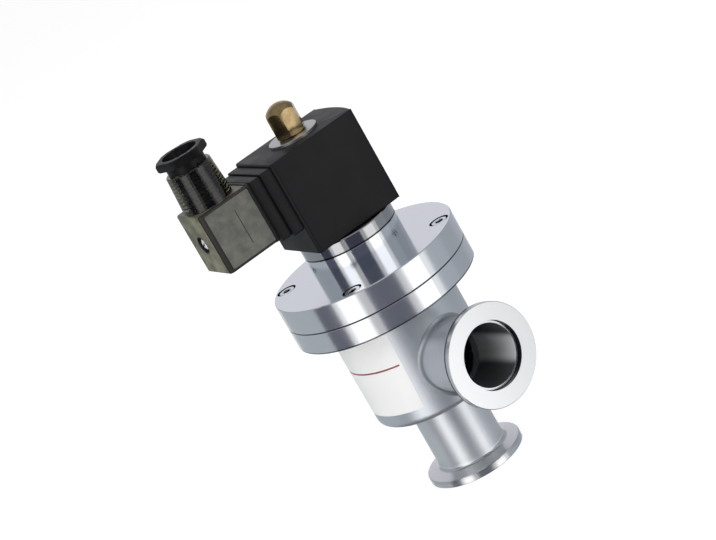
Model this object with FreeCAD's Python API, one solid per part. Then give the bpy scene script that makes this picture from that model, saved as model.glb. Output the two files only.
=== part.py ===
import FreeCAD, Part
import math
import os

# Vacuum solenoid valve of the right-angle pattern, with two small-flange ports of nominal bore 25.
# The origin is the centre of the outlet flange's sealing face. +Z runs up the valve's axis and +X out
# of the side port. Lengths are in millimetres and angles in degrees.

# Ports: ISO-KF flange, centring recess and tube
flange_d = 40.0
flange_rim = 3.0
flange_taper = 15.0
centring_d = 26.2
centring_depth = 2.2
port_bore_d = 24.0
port_wall = 2.0
port_reach = 50.0
tube_root = 2.0
rim_break = 0.25

# Valve body: can, floor and bolting flange
body_d = 52.0
body_wall = 3.5
body_bottom = 32.0
body_floor = 4.0
body_bottom_round = 3.0
body_height = 52.5
body_flange_overhang = 12.0
body_flange_t = 9.0
side_root = 2.5
flange_root = 0.8
edge_break = 0.35
braze_gap = 0.03

# Seat lip of the outlet tube
seat_rise = 1.5
lip_round = 0.7

# Bonnet and its hub
bonnet_t = 10.3
hub_d = 38.8
hub_height = 10.1
spigot_h = 2.0
spigot_gap = 0.15
hub_recess_d = 28.0
hub_recess_depth = 5.0

# Bonnet screws: socket head, in counterbores
screw_count = 4
screw_edge = 5.0
screw_start_angle = 45.0
screw_d = 4.0
screw_length = 14.0
screw_head_d = 7.0
screw_head_h = 4.0
screw_socket_af = 3.0
screw_socket_depth = 2.2
screw_hole_d = 4.4
counterbore_d = 8.0
head_sink = 0.2
thread_gap = 0.05
tapped_spare = 0.6

# Round-section seals
bonnet_seal_land = 1.65
bonnet_seal_cord = 2.4
tube_seal_land = 0.6
tube_seal_cord = 1.5
groove_spare = 0.7

# Armature tube, fixed core and guide
tube_d = 16.0
tube_wall = 0.6
tube_short = 1.35
tube_flange_d = 27.0
tube_flange_t = 1.5
core_length = 16.5
core_gap = 0.04
stud_d = 6.0
stud_rise = 10.8
shading_ring_d = 11.0
shading_ring_w = 1.2
shading_ring_t = 1.6
bush_d = 20.0
bush_flange_d = 25.0
bush_flange_t = 1.5

# Plunger and its travel
stroke = 7.0
stop_gap = 0.3
slide_gap = 0.05
stem_d = 8.0
armature_length = 45.0
plunger_chamfer = 0.6
vent_groove_w = 1.6
vent_groove_depth = 0.9

# Valve disc, flat seal, retainer and screw
seat_gap = 0.25
disc_d = 34.0
disc_t = 5.0
disc_round = 0.5
seal_d = 30.4
seal_t = 3.0
seal_stand = 0.8
boss_d = 8.0
retainer_d = 21.0
retainer_t = 1.5
retainer_screw_d = 4.0
retainer_screw_depth = 8.0
retainer_head_d = 7.0
retainer_head_h = 2.4
driver_slot_w = 1.0
driver_slot_depth = 1.0

# Return spring
spring_mean_d = 20.4
spring_wire_d = 1.6
spring_turns = 6
spring_end_turns = 1
spring_end_rise = 1.05
spring_ground = 0.25

# Clamp ring that carries the coil
clamp_ring_t = 4.9
pass_gap = 0.2

# Coil, turned a little about the valve's axis
coil_turn = -6.45
coil_width = 32.0
coil_near = 20.3
coil_far = 18.8
coil_bow = 2.0
coil_height = 38.7
coil_corner_near = 1.5
coil_corner_far = 4.0
coil_edge = 0.7
coil_bore_gap = 0.3
turn_gap = 0.05

# Connector neck moulded on the coil: two steps
neck_z = 134.2
step_widths = (29.4, 27.0)
step_heights = (26.8, 25.6)
step_lengths = (4.7, 4.5)
step_corner = 1.0

# Inside the coil: yoke, bobbin, winding and blades
yoke_w = 24.0
yoke_t = 2.4
yoke_cover = 1.6
yoke_near = 14.0
bobbin_wall = 1.0
bobbin_flange_d = 28.0
bobbin_flange_t = 1.2
winding_inset = 0.6
blade_w = 4.8
blade_t = 0.8
blade_spread = 11.0
blade_drop = 7.4
blade_reach = 7.0
blade_root = 4.0
blade_gap = 0.3

# Connector housing, open towards the coil
gasket_t = 1.0
gasket_w = 23.0
gasket_h = 25.2
gasket_corner = 2.0
housing_w = 22.0
housing_h = 24.4
housing_length = 21.9
housing_wall = 1.6
housing_corner = 1.8
housing_edge = 0.5
socket_d_low = 20.1
socket_d_high = 18.3
socket_height = 15.55
socket_offset = 11.7
socket_bore_d = 15.5
socket_ledge = 1.0
socket_entry_d = 11.0
screw_boss_d = 9.0
screw_boss_depth = 5.0
screw_recess_d = 6.6
screw_recess_depth = 3.2

# Terminal block and what it carries
block_gap = 0.12
block_length = 12.0
block_corner = 1.0
terminal_screw_d = 2.4
terminal_screw_length = 3.6
terminal_head_d = 4.4
terminal_head_h = 1.5
board_w = 16.0
board_h = 4.6
board_t = 1.0
lamp_d = 3.0
lamp_length = 4.0

# Connector screw
connector_screw_d = 3.0
connector_screw_grip = 5.0
connector_head_d = 5.6
connector_head_h = 2.0

# Cable gland
gland_af = 18.0
gland_hex_turn = 15.0
gland_hex_h = 3.3
gland_neck_h = 3.2
gland_thread_d = 15.4
gland_thread_length = 8.75
gland_mouth_d = 14.2
gland_recess_d = 12.0
gland_recess_depth = 7.3
gland_bore_d = 8.4
gland_chamfer = 0.9
gland_seal_bore_d = 7.0
gland_washer_t = 1.0
gland_washer_bore_d = 8.8

# Washer and cap nut on the stud
washer_d = 20.0
washer_t = 1.0
washer_hole_d = 6.4
nut_af = 11.0
nut_turn = -28.55
nut_height = 13.25
nut_ball_d = 14.0
nut_face_d = 10.4
nut_wall_over_stud = 1.0

# Heights and diameters that follow from the sizes above
port_tube_d = port_bore_d + 2 * port_wall
chamber_d = body_d - 2 * body_wall
body_flange_d = body_d + 2 * body_flange_overhang
screw_circle_d = body_flange_d - 2 * screw_edge
bonnet_seal_d = chamber_d + 2 * bonnet_seal_land + bonnet_seal_cord + groove_spare
tube_seal_d = bush_d + 2 * pass_gap + 2 * tube_seal_land + tube_seal_cord + groove_spare
floor_top = body_bottom + body_floor
seat_z = floor_top + seat_rise
body_top = body_bottom + body_height
flange_bottom = body_top - body_flange_t
bonnet_top = body_top + bonnet_t
hub_top = bonnet_top + hub_height
hub_floor = hub_top - hub_recess_depth
underside = body_top - spigot_h
counterbore_z = bonnet_top - screw_head_h - head_sink
tapped_depth = screw_length - (counterbore_z - body_top) + tapped_spare
tube_bore_d = tube_d - 2 * tube_wall
plunger_d = tube_bore_d - 2 * slide_gap
tube_flange_top = hub_floor + tube_flange_t
seal_bottom = seat_z + seat_gap
seal_top = seal_bottom + seal_t
disc_bottom = seal_bottom + seal_stand
disc_top = disc_bottom + disc_t
retainer_bottom = seal_bottom - retainer_t
spring_top = underside - bush_flange_t
coil_seat = hub_top + clamp_ring_t
coil_bottom = coil_seat + turn_gap
coil_top = coil_bottom + coil_height
tube_top = coil_top - tube_short
core_bottom = tube_top - core_length
plunger_top = core_bottom - stop_gap - stroke
armature_bottom = plunger_top - armature_length
coil_bore_d = tube_d + 2 * coil_bore_gap
washer_bottom = coil_top + turn_gap
washer_top = washer_bottom + washer_t
stud_top = washer_top + stud_rise
neck_end = coil_near + sum(step_lengths)
gasket_near = neck_end + turn_gap
housing_near = gasket_near + gasket_t
housing_end = housing_near + housing_length
housing_top = neck_z + housing_h / 2
socket_y = -(housing_near + socket_offset)
socket_top = housing_top + socket_height
block_near = housing_near + block_gap
block_end = block_near + block_length
gland_hex_bottom = socket_top + gland_neck_h
gland_top = gland_hex_bottom + gland_hex_h
gland_foot = socket_top - gland_thread_length
ledge_top = housing_top - housing_wall + socket_ledge


def vec(x, y, z):
    return FreeCAD.Vector(x, y, z)


def rod(d, z0, z1, x=0.0, y=0.0):
    """Upright round bar."""
    return Part.makeCylinder(d / 2, z1 - z0, vec(x, y, z0))


def ring(d_out, d_in, z0, z1, x=0.0, y=0.0):
    """Upright round ring."""
    return rod(d_out, z0, z1, x, y).cut(rod(d_in, z0, z1, x, y))


def pin(d, x, z, y0, y1):
    """Round bar along Y, from y0 to the lower y1."""
    return Part.makeCylinder(d / 2, y0 - y1, vec(x, y0, z), vec(0, -1, 0))


def turned(section):
    """Solid turned about Z from a half section of (radius, height) corners."""
    corners = [vec(r, 0, z) for r, z in section]
    face = Part.Face(Part.makePolygon(corners + corners[:1]))
    return face.revolve(vec(0, 0, 0), vec(0, 0, 1), 360)


def box(x0, x1, y0, y1, z0, z1):
    return Part.makeBox(x1 - x0, y1 - y0, z1 - z0, vec(x0, y0, z0))


def hexagon(af, z0, z1, x=0.0, y=0.0):
    """Upright hexagonal bar, measured across its flats."""
    r = af / math.sqrt(3)
    corners = [
        vec(x + r * math.cos(math.radians(a)), y + r * math.sin(math.radians(a)), z0)
        for a in range(0, 361, 60)
    ]
    return Part.Face(Part.makePolygon(corners)).extrude(vec(0, 0, z1 - z0))


def edges_where(shape, test):
    return [e for e in shape.Edges if test(e)]


def is_circle(edge, d, z):
    """True for a level circle of diameter d at height z."""
    curve = edge.Curve
    if not isinstance(curve, Part.Circle):
        return False
    return abs(2 * curve.Radius - d) < 1e-3 and abs(curve.Center.z - z) < 1e-3


def round_circles(shape, size, *circles):
    """Fillets the level circles given as (diameter, height)."""
    edges = edges_where(shape, lambda e: any(is_circle(e, d, z) for d, z in circles))
    return shape.makeFillet(size, edges)


def bevel_circles(shape, size, *circles):
    """Chamfers the level circles given as (diameter, height)."""
    edges = edges_where(shape, lambda e: any(is_circle(e, d, z) for d, z in circles))
    return shape.makeChamfer(size, edges)


def is_upright(edge):
    box_of = edge.BoundBox
    return box_of.XLength < 1e-3 and box_of.YLength < 1e-3


def plate_along_y(w, h, corner, y0, y1, z=neck_z):
    """Plate with rounded corners in X and Z, from y0 to the lower y1, centred on x = 0 and height z."""
    plate = box(-w / 2, w / 2, y1, y0, z - h / 2, z + h / 2)
    edges = edges_where(plate, lambda e: e.BoundBox.XLength < 1e-3 and e.BoundBox.ZLength < 1e-3)
    return plate.makeFillet(corner, edges)


def with_coil(shape):
    """Turns a piece of the coil or connector about the valve's axis, to where the coil points."""
    shape.rotate(vec(0, 0, 0), vec(0, 0, 1), coil_turn)
    return shape


def o_ring(mean_d, cord, groove_bottom):
    return Part.makeTorus(mean_d / 2, cord / 2, vec(0, 0, groove_bottom + cord / 2))


def o_ring_groove(mean_d, cord, face_z):
    """Groove in an upward face, as deep as the cord and a little wider."""
    w = cord + groove_spare
    return ring(mean_d + w, mean_d - w, face_z - cord, face_z)


def screw_places():
    """Centres of the bonnet screws."""
    for i in range(screw_count):
        a = math.radians(screw_start_angle + i * 360 / screw_count)
        yield screw_circle_d / 2 * math.cos(a), screw_circle_d / 2 * math.sin(a)


def kf_port(length):
    """Outside of a small-flange port with its sealing face at z = 0 and its tube up to z = length."""
    r_flange, r_tube = flange_d / 2, port_tube_d / 2
    taper_top = flange_rim + (r_flange - r_tube) * math.tan(math.radians(flange_taper))
    port = turned([
        (0, 0), (r_flange, 0), (r_flange, flange_rim), (r_tube, taper_top), (r_tube, length), (0, length),
    ])
    port = round_circles(port, tube_root, (port_tube_d, taper_top))
    return bevel_circles(port, rim_break, (flange_d, 0), (flange_d, flange_rim))


def kf_bore(length):
    """Centring recess and passage of a small-flange port."""
    return rod(centring_d, 0, centring_depth).fuse(rod(port_bore_d, 0, length))


def to_side(shape):
    """Lays a port on its side, with its sealing face at the side port's reach."""
    shape.rotate(vec(0, 0, 0), vec(0, 1, 0), -90)
    shape.translate(vec(port_reach, 0, port_reach))
    return shape


def on_side_root(edge):
    """True for the curve where the side port's tube meets the can."""
    p = edge.valueAt((edge.FirstParameter + edge.LastParameter) / 2)
    off_can = abs(math.hypot(p.x, p.y) - body_d / 2)
    off_tube = abs(math.hypot(p.y, p.z - port_reach) - port_tube_d / 2)
    return off_can < 1e-2 and off_tube < 1e-2 and p.x > 0


def can(grow=0.0):
    """Outside of the can with its rounded foot, grown all round by a gap."""
    d, foot = body_d + 2 * grow, body_bottom - grow
    shape = round_circles(rod(d, foot, flange_bottom), body_bottom_round + grow, (d, foot))
    # The seam line is turned away from the side port, so that the port's root is one unbroken curve
    shape.rotate(vec(0, 0, 0), vec(0, 0, 1), 180)
    return shape


def valve_body():
    """Can with its floor and the bolting flange, in one piece."""
    flange = rod(body_flange_d, flange_bottom, body_top)
    flange = bevel_circles(flange, edge_break, (body_flange_d, flange_bottom), (body_flange_d, body_top))
    body = can().fuse(flange).removeSplitter()
    body = round_circles(body, flange_root, (body_d, flange_bottom))
    body = body.cut(rod(chamber_d, floor_top, body_top))
    body = body.cut(to_side(kf_bore(port_reach)))
    body = body.cut(rod(port_tube_d + 2 * braze_gap, body_bottom, floor_top))
    body = body.cut(o_ring_groove(bonnet_seal_d, bonnet_seal_cord, body_top))
    for x, y in screw_places():
        body = body.cut(rod(screw_d + 2 * thread_gap, body_top - tapped_depth, body_top, x, y))
    return body


def side_port():
    """Side tube with its flange, welded on the can with a rounded root."""
    port = can().fuse(to_side(kf_port(port_reach))).removeSplitter()
    port = port.makeFillet(side_root, edges_where(port, on_side_root))
    return port.cut(can(braze_gap)).cut(to_side(kf_bore(port_reach)))


def outlet_port():
    """Outlet tube with its flange, brazed into the body's floor, and the seat lip on its inner end."""
    port = kf_port(seat_z).cut(kf_bore(seat_z))
    return round_circles(port, lip_round, (port_tube_d, seat_z), (port_bore_d, seat_z))


def bonnet():
    """Upper flange with spigot and hub. The hub takes the armature tube's flange and the guide bush."""
    body = rod(body_flange_d, body_top, bonnet_top)
    body = bevel_circles(body, edge_break, (body_flange_d, body_top), (body_flange_d, bonnet_top))
    hub = bevel_circles(rod(hub_d, bonnet_top, hub_top), edge_break, (hub_d, hub_top))
    body = body.fuse(hub).fuse(rod(chamber_d - 2 * spigot_gap, underside, body_top))
    body = body.cut(rod(hub_recess_d, hub_floor, hub_top))
    body = body.cut(o_ring_groove(tube_seal_d, tube_seal_cord, hub_floor))
    body = body.cut(rod(bush_d + 2 * pass_gap, underside, hub_floor))
    for x, y in screw_places():
        body = body.cut(rod(screw_hole_d, body_top, bonnet_top, x, y))
        body = body.cut(rod(counterbore_d, counterbore_z, bonnet_top, x, y))
    return body


def bonnet_screws():
    screws = []
    for x, y in screw_places():
        head_top = counterbore_z + screw_head_h
        screw = rod(screw_head_d, counterbore_z, head_top, x, y)
        screw = screw.cut(hexagon(screw_socket_af, head_top - screw_socket_depth, head_top, x, y))
        screws.append(screw.fuse(rod(screw_d, counterbore_z - screw_length, counterbore_z, x, y)))
    return Part.makeCompound(screws)


def clamp_ring():
    """Ring that screws into the hub's recess, holds the armature tube down and carries the coil."""
    body = rod(hub_d, hub_top, coil_seat)
    body = bevel_circles(body, edge_break, (hub_d, hub_top), (hub_d, coil_seat))
    body = body.fuse(rod(hub_recess_d - 2 * thread_gap, tube_flange_top, hub_top))
    return body.cut(rod(tube_d + 2 * pass_gap, tube_flange_top, coil_seat))


def armature_tube():
    body = rod(tube_flange_d, hub_floor, tube_flange_top).fuse(rod(tube_d, hub_floor, tube_top))
    return body.cut(rod(tube_bore_d, hub_floor, tube_top))


def pole_piece():
    """Fixed core welded into the tube's end, with the stud for the cap nut."""
    core = rod(tube_bore_d - 2 * core_gap, core_bottom, tube_top)
    core = core.fuse(rod(stud_d, tube_top, stud_top))
    return bevel_circles(core, edge_break, (stud_d, stud_top)).cut(shading_ring())


def shading_ring():
    d_in = shading_ring_d - 2 * shading_ring_w
    return ring(shading_ring_d, d_in, core_bottom, core_bottom + shading_ring_t)


def guide_bush():
    body = rod(bush_flange_d, spring_top, underside).fuse(rod(bush_d, underside, hub_floor))
    return body.cut(rod(plunger_d + 2 * slide_gap, spring_top, hub_floor))


def plunger():
    """Armature with lengthwise vent grooves, and the stem that carries the disc."""
    r_arm, r_stem, c = plunger_d / 2, stem_d / 2, plunger_chamfer
    body = turned([
        (0, disc_top), (r_stem, disc_top), (r_stem, armature_bottom), (r_arm - c, armature_bottom),
        (r_arm, armature_bottom + c), (r_arm, plunger_top - c), (r_arm - c, plunger_top), (0, plunger_top),
    ])
    for side in (-1, 1):
        y0, y1 = sorted((side * (r_arm - vent_groove_depth), side * (r_arm + 1)))
        half = vent_groove_w / 2
        body = body.cut(box(-half, half, y0, y1, armature_bottom, plunger_top))
    hole_d = retainer_screw_d + 2 * thread_gap
    return body.cut(rod(hole_d, disc_top, disc_top + retainer_screw_depth + tapped_spare))


def valve_disc():
    """Disc with a recess for the flat seal round a central boss."""
    body = rod(disc_d, disc_bottom, disc_top)
    body = round_circles(body, disc_round, (disc_d, disc_top), (disc_d, disc_bottom))
    body = body.cut(ring(seal_d + 2 * pass_gap, boss_d, disc_bottom, seal_top))
    body = body.fuse(rod(boss_d, seal_bottom, disc_bottom))
    return body.cut(rod(retainer_screw_d + 2 * thread_gap, seal_bottom, disc_top))


def disc_seal():
    return ring(seal_d, boss_d + 2 * pass_gap, seal_bottom, seal_top)


def seal_retainer():
    body = rod(retainer_d, retainer_bottom, seal_bottom)
    body = bevel_circles(body, edge_break, (retainer_d, retainer_bottom))
    return body.cut(rod(retainer_screw_d + 2 * thread_gap, retainer_bottom, seal_bottom))


def retainer_screw():
    head_bottom = retainer_bottom - retainer_head_h
    body = rod(retainer_head_d, head_bottom, retainer_bottom)
    body = round_circles(body, disc_round, (retainer_head_d, head_bottom))
    half_l, half_w = retainer_head_d / 2, driver_slot_w / 2
    body = body.cut(box(-half_l, half_l, -half_w, half_w, head_bottom, head_bottom + driver_slot_depth))
    return body.fuse(rod(retainer_screw_d, retainer_bottom, disc_top + retainer_screw_depth))


def return_spring():
    """Compression spring with closed and ground ends. Each half turn is a half ring tilted by its rise."""
    r = spring_mean_d / 2
    z = disc_top + spring_ground * spring_wire_d
    span = spring_top - disc_top - 2 * spring_ground * spring_wire_d
    end_rise = spring_end_rise * spring_wire_d / 2
    free_rise = (span - 4 * spring_end_turns * end_rise) / (2 * spring_turns)
    ends, free = [end_rise] * 2 * spring_end_turns, [free_rise] * 2 * spring_turns
    side, walls = 1, [Part.Face(wire_section(r, z))]
    for rise in ends + free + ends:
        axis = vec(side * rise / 2, 0, r)
        walls += wire_section(side * r, z).revolve(vec(0, 0, z + rise / 2), axis, 180).Faces
        z += rise
        side = -side
    walls.append(Part.Face(wire_section(side * r, z)))
    shell = Part.makeShell(walls)
    shell.sewShape()
    return Part.Solid(shell).common(rod(2 * spring_mean_d, disc_top, spring_top))


def wire_section(x, z):
    """Round section of the spring wire, across the X-Z plane."""
    return Part.Wire(Part.makeCircle(spring_wire_d / 2, vec(x, 0, z), vec(0, 1, 0)))


def yoke():
    """Steel strap bent round the bobbin: two plates and the leg between them."""
    half = yoke_w / 2
    y_far = coil_far - yoke_cover
    z0, z1 = coil_bottom + yoke_cover, coil_top - yoke_cover
    strap = box(-half, half, -yoke_near, y_far, z0, z1)
    return strap.cut(box(-half, half, -yoke_near, y_far - yoke_t, z0 + yoke_t, z1 - yoke_t))


def bobbin_span():
    """Heights between the yoke's plates."""
    return coil_bottom + yoke_cover + yoke_t, coil_top - yoke_cover - yoke_t


def blades():
    """Two power blades, and the earth blade turned flat below them."""
    y0, y1 = -(neck_end + blade_reach), -(coil_near - blade_root)
    half_w, half_t, half_s = blade_w / 2, blade_t / 2, blade_spread / 2
    power = [box(x - half_t, x + half_t, y0, y1, neck_z - half_w, neck_z + half_w) for x in (-half_s, half_s)]
    z = neck_z - blade_drop
    return power + [box(-half_w, half_w, y0, y1, z - half_t, z + half_t)]


def coil_housing():
    """Moulded block, bowed at its far end, with the stepped neck that the connector plugs on."""
    half = coil_width / 2
    a, b = vec(half, coil_far, coil_bottom), vec(-half, coil_far, coil_bottom)
    near_b, near_a = vec(-half, -coil_near, coil_bottom), vec(half, -coil_near, coil_bottom)
    bow = Part.Arc(a, vec(0, coil_far + coil_bow, coil_bottom), b).toShape()
    outline = Part.Wire([bow, Part.makePolygon([b, near_b, near_a, a])])
    block = Part.Face(outline).extrude(vec(0, 0, coil_height))
    near_corners = edges_where(block, lambda e: is_upright(e) and e.BoundBox.YMax < 0)
    block = block.makeFillet(coil_corner_near, near_corners)
    far_corners = edges_where(block, lambda e: is_upright(e) and abs(e.BoundBox.YMax - coil_far) < 1e-3)
    block = block.makeFillet(coil_corner_far, far_corners)
    block = block.makeFillet(coil_edge, edges_where(block, lambda e: e.BoundBox.ZLength < 1e-3))
    y = -coil_near
    for w, h, length in zip(step_widths, step_heights, step_lengths):
        step = plate_along_y(w, h, step_corner, y + coil_edge + step_corner, y - length)
        block = block.fuse(step)
        y -= length
    z0, z1 = bobbin_span()
    block = block.cut(rod(coil_bore_d, coil_bottom, coil_top)).cut(yoke())
    block = block.cut(rod(bobbin_flange_d, z0, z1))
    for blade in blades():
        block = block.cut(blade)
    screw_end = neck_end - connector_screw_grip - tapped_spare
    block = block.cut(pin(connector_screw_d + 2 * thread_gap, 0, neck_z, -screw_end, -neck_end))
    return with_coil(block)


def coil_bobbin():
    z0, z1 = bobbin_span()
    body = rod(coil_bore_d + 2 * bobbin_wall, z0, z1)
    body = body.fuse(rod(bobbin_flange_d, z0, z0 + bobbin_flange_t))
    body = body.fuse(rod(bobbin_flange_d, z1 - bobbin_flange_t, z1))
    return with_coil(body.cut(rod(coil_bore_d, z0, z1)))


def coil_winding():
    z0, z1 = bobbin_span()
    inner = coil_bore_d + 2 * bobbin_wall
    body = ring(bobbin_flange_d - 2 * winding_inset, inner, z0 + bobbin_flange_t, z1 - bobbin_flange_t)
    return with_coil(body)


def coil_yoke():
    return with_coil(yoke().cut(rod(coil_bore_d, coil_bottom, coil_top)))


def terminal_blades():
    return with_coil(Part.makeCompound(blades()))


def connector_gasket():
    """Flat gasket between the neck and the connector, with openings for the blades and the screw."""
    y0, y1 = -gasket_near, -housing_near
    plate = plate_along_y(gasket_w, gasket_h, gasket_corner, y0, y1)
    half_x = blade_spread / 2 + blade_t / 2 + blade_gap
    z0 = neck_z - blade_drop - blade_t / 2 - blade_gap
    z1 = neck_z + blade_w / 2 + blade_gap
    return with_coil(plate.cut(box(-half_x, half_x, y1, y0, z0, z1)))


def connector_housing():
    """Translucent shell with a boss for the screw in its end wall, and on top the gland's socket.
    A ledge at the foot of the socket carries the gland's seal."""
    y0, y1 = -housing_near, -housing_end
    half_w, half_h = housing_w / 2, housing_h / 2
    shell = box(-half_w, half_w, y1, y0, neck_z - half_h, neck_z + half_h)
    shell = shell.makeFillet(
        housing_corner, edges_where(shell, lambda e: is_upright(e) and e.BoundBox.YMax < y1 + 1))
    socket = turned([
        (0, housing_top - housing_wall), (socket_d_low / 2, housing_top - housing_wall),
        (socket_d_low / 2, housing_top), (socket_d_high / 2, socket_top), (0, socket_top),
    ])
    socket = bevel_circles(socket, edge_break, (socket_d_high, socket_top))
    socket.translate(vec(0, socket_y, 0))
    shell = shell.makeFillet(housing_edge, edges_where(
        shell, lambda e: e.BoundBox.ZLength < 1e-3 and e.BoundBox.YMin < y0 - 1))
    shell = shell.fuse(socket)
    w, h = housing_w - 2 * housing_wall, housing_h - 2 * housing_wall
    shell = shell.cut(plate_along_y(w, h, block_corner, y0, y1 + housing_wall))
    shell = shell.cut(rod(socket_bore_d, ledge_top, socket_top, 0, socket_y))
    shell = shell.cut(rod(socket_entry_d, neck_z, ledge_top, 0, socket_y))
    shell = shell.fuse(pin(screw_boss_d, 0, neck_z, y1 + screw_boss_depth, y1 + housing_wall))
    shell = shell.cut(pin(screw_recess_d, 0, neck_z, y1 + screw_recess_depth, y1))
    shell = shell.cut(pin(connector_screw_d + 4 * thread_gap, 0, neck_z, y1 + screw_boss_depth, y1))
    return with_coil(shell)


def terminal_block():
    """Insert that holds the contacts, slotted for the blades and bored for the screws."""
    y0, y1 = -block_near, -block_end
    w = housing_w - 2 * housing_wall - 2 * block_gap
    h = housing_h - 2 * housing_wall - 2 * block_gap
    body = plate_along_y(w, h, block_corner, y0, y1)
    slot_end = -(neck_end + blade_reach + blade_gap)
    grown_w, grown_t = blade_w / 2 + blade_gap, blade_t / 2 + blade_gap
    for x in (-blade_spread / 2, blade_spread / 2):
        body = body.cut(box(x - grown_t, x + grown_t, slot_end, y0, neck_z - grown_w, neck_z + grown_w))
    z = neck_z - blade_drop
    body = body.cut(box(-grown_w, grown_w, slot_end, y0, z - grown_t, z + grown_t))
    body = body.cut(pin(connector_screw_d + 4 * thread_gap, 0, neck_z, y0, y1))
    for x, z in terminal_places():
        body = body.cut(pin(terminal_screw_d + 2 * thread_gap, x, z, y1 + terminal_screw_length, y1))
    return with_coil(body)


def terminal_places():
    """Places of the terminal screws, each behind its blade."""
    return [(-blade_spread / 2, neck_z), (blade_spread / 2, neck_z), (0, neck_z - blade_drop)]


def driver_slot(length, x, z, y):
    """Screwdriver slot across a head, cut inwards from y."""
    half_l, half_w = length / 2, driver_slot_w / 2
    return box(x - half_l, x + half_l, y, y + driver_slot_depth, z - half_w, z + half_w)


def terminal_screws():
    screws = []
    y = -block_end
    for x, z in terminal_places():
        head = pin(terminal_head_d, x, z, y, y - terminal_head_h)
        head = head.cut(driver_slot(terminal_head_d, x, z, y - terminal_head_h))
        screws.append(head.fuse(pin(terminal_screw_d, x, z, y + terminal_screw_length, y)))
    return with_coil(Part.makeCompound(screws))


def indicator_lamp():
    """Small board on the terminal block with a domed lamp."""
    z1 = housing_top - housing_wall - block_gap
    y = -block_end
    board = box(-board_w / 2, board_w / 2, y - board_t, y, z1 - board_h, z1)
    x, z = board_w / 4, z1 - board_h / 2
    lamp = pin(lamp_d, x, z, y - board_t, y - lamp_length + lamp_d / 2)
    dome = Part.makeSphere(lamp_d / 2, vec(x, y - lamp_length + lamp_d / 2, z))
    return with_coil(board.fuse(lamp).fuse(dome))


def connector_screw():
    """Slotted screw that passes through the connector into the coil's neck."""
    seat = -(housing_end - screw_recess_depth)
    head = pin(connector_head_d, 0, neck_z, seat, seat - connector_head_h)
    head = head.cut(driver_slot(connector_head_d, 0, neck_z, seat - connector_head_h))
    return with_coil(head.fuse(pin(connector_screw_d, 0, neck_z, -(neck_end - connector_screw_grip), seat)))


def gland_seal():
    d, z1 = socket_bore_d - 2 * pass_gap, gland_foot - gland_washer_t
    return with_coil(ring(d, gland_seal_bore_d, ledge_top, z1, 0, socket_y))


def gland_washer():
    z0 = gland_foot - gland_washer_t
    return with_coil(ring(socket_bore_d - 2 * pass_gap, gland_washer_bore_d, z0, gland_foot, 0, socket_y))


def gland_nut():
    """Hollow hexagon nut of the cable gland, with a mouth that narrows to the cable's bore."""
    hexed = hexagon(gland_af, gland_hex_bottom, gland_top)
    r_corner = gland_af / math.sqrt(3)
    c = gland_chamfer
    hexed = hexed.common(turned([
        (0, gland_hex_bottom), (r_corner - c / 2, gland_hex_bottom), (r_corner, gland_hex_bottom + c / 2),
        (r_corner, gland_top - c), (r_corner - c, gland_top), (0, gland_top),
    ]))
    hexed.rotate(vec(0, 0, 0), vec(0, 0, 1), gland_hex_turn)
    z0 = gland_foot + turn_gap
    body = hexed.fuse(rod(gland_thread_d, z0, gland_hex_bottom))
    recess_z = gland_top - gland_recess_depth
    body = body.cut(turned([
        (0, recess_z), (gland_recess_d / 2, recess_z), (gland_mouth_d / 2, gland_top), (0, gland_top),
    ]))
    body = body.cut(rod(gland_bore_d, z0, gland_top))
    body.translate(vec(0, socket_y, 0))
    return with_coil(body)


def nut_washer():
    body = bevel_circles(rod(washer_d, washer_bottom, washer_top), edge_break / 2, (washer_d, washer_top))
    return body.cut(rod(washer_hole_d, washer_bottom, washer_top))


def cap_nut():
    """Cap nut turned from hexagon bar: a ball-shaped top, a chamfered foot and a blind bore for the stud."""
    z0 = washer_top + turn_gap
    z1, r_ball = z0 + nut_height, nut_ball_d / 2
    r_face, r_bar = nut_face_d / 2, nut_af / math.sqrt(3) + rim_break
    chamfer = (r_bar - r_face) * math.tan(math.radians(30))
    blank = turned([(0, z0), (r_face, z0), (r_bar, z0 + chamfer), (r_bar, z1), (0, z1)])
    ball = Part.makeSphere(r_ball, vec(0, 0, z1 - r_ball)).fuse(rod(nut_ball_d, z0, z1 - r_ball))
    body = hexagon(nut_af, z0, z1).common(blank).common(ball)
    body = body.cut(rod(stud_d + 2 * thread_gap, z0, stud_top + nut_wall_over_stud))
    body.rotate(vec(0, 0, 0), vec(0, 0, 1), nut_turn)
    return with_coil(body)


pieces = {
    "valve_body": valve_body,
    "side_port": side_port,
    "outlet_port": outlet_port,
    "bonnet": bonnet,
    "bonnet_screws": bonnet_screws,
    "clamp_ring": clamp_ring,
    "armature_tube": armature_tube,
    "pole_piece": pole_piece,
    "shading_ring": shading_ring,
    "guide_bush": guide_bush,
    "plunger": plunger,
    "valve_disc": valve_disc,
    "disc_seal": disc_seal,
    "seal_retainer": seal_retainer,
    "retainer_screw": retainer_screw,
    "return_spring": return_spring,
    "coil_housing": coil_housing,
    "coil_bobbin": coil_bobbin,
    "coil_winding": coil_winding,
    "coil_yoke": coil_yoke,
    "terminal_blades": terminal_blades,
    "connector_gasket": connector_gasket,
    "connector_housing": connector_housing,
    "terminal_block": terminal_block,
    "terminal_screws": terminal_screws,
    "indicator_lamp": indicator_lamp,
    "connector_screw": connector_screw,
    "gland_seal": gland_seal,
    "gland_washer": gland_washer,
    "gland_nut": gland_nut,
    "nut_washer": nut_washer,
    "cap_nut": cap_nut,
}
seals = {
    "bonnet_seal": (bonnet_seal_d, bonnet_seal_cord, body_top),
    "tube_seal": (tube_seal_d, tube_seal_cord, hub_floor),
}

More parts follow.
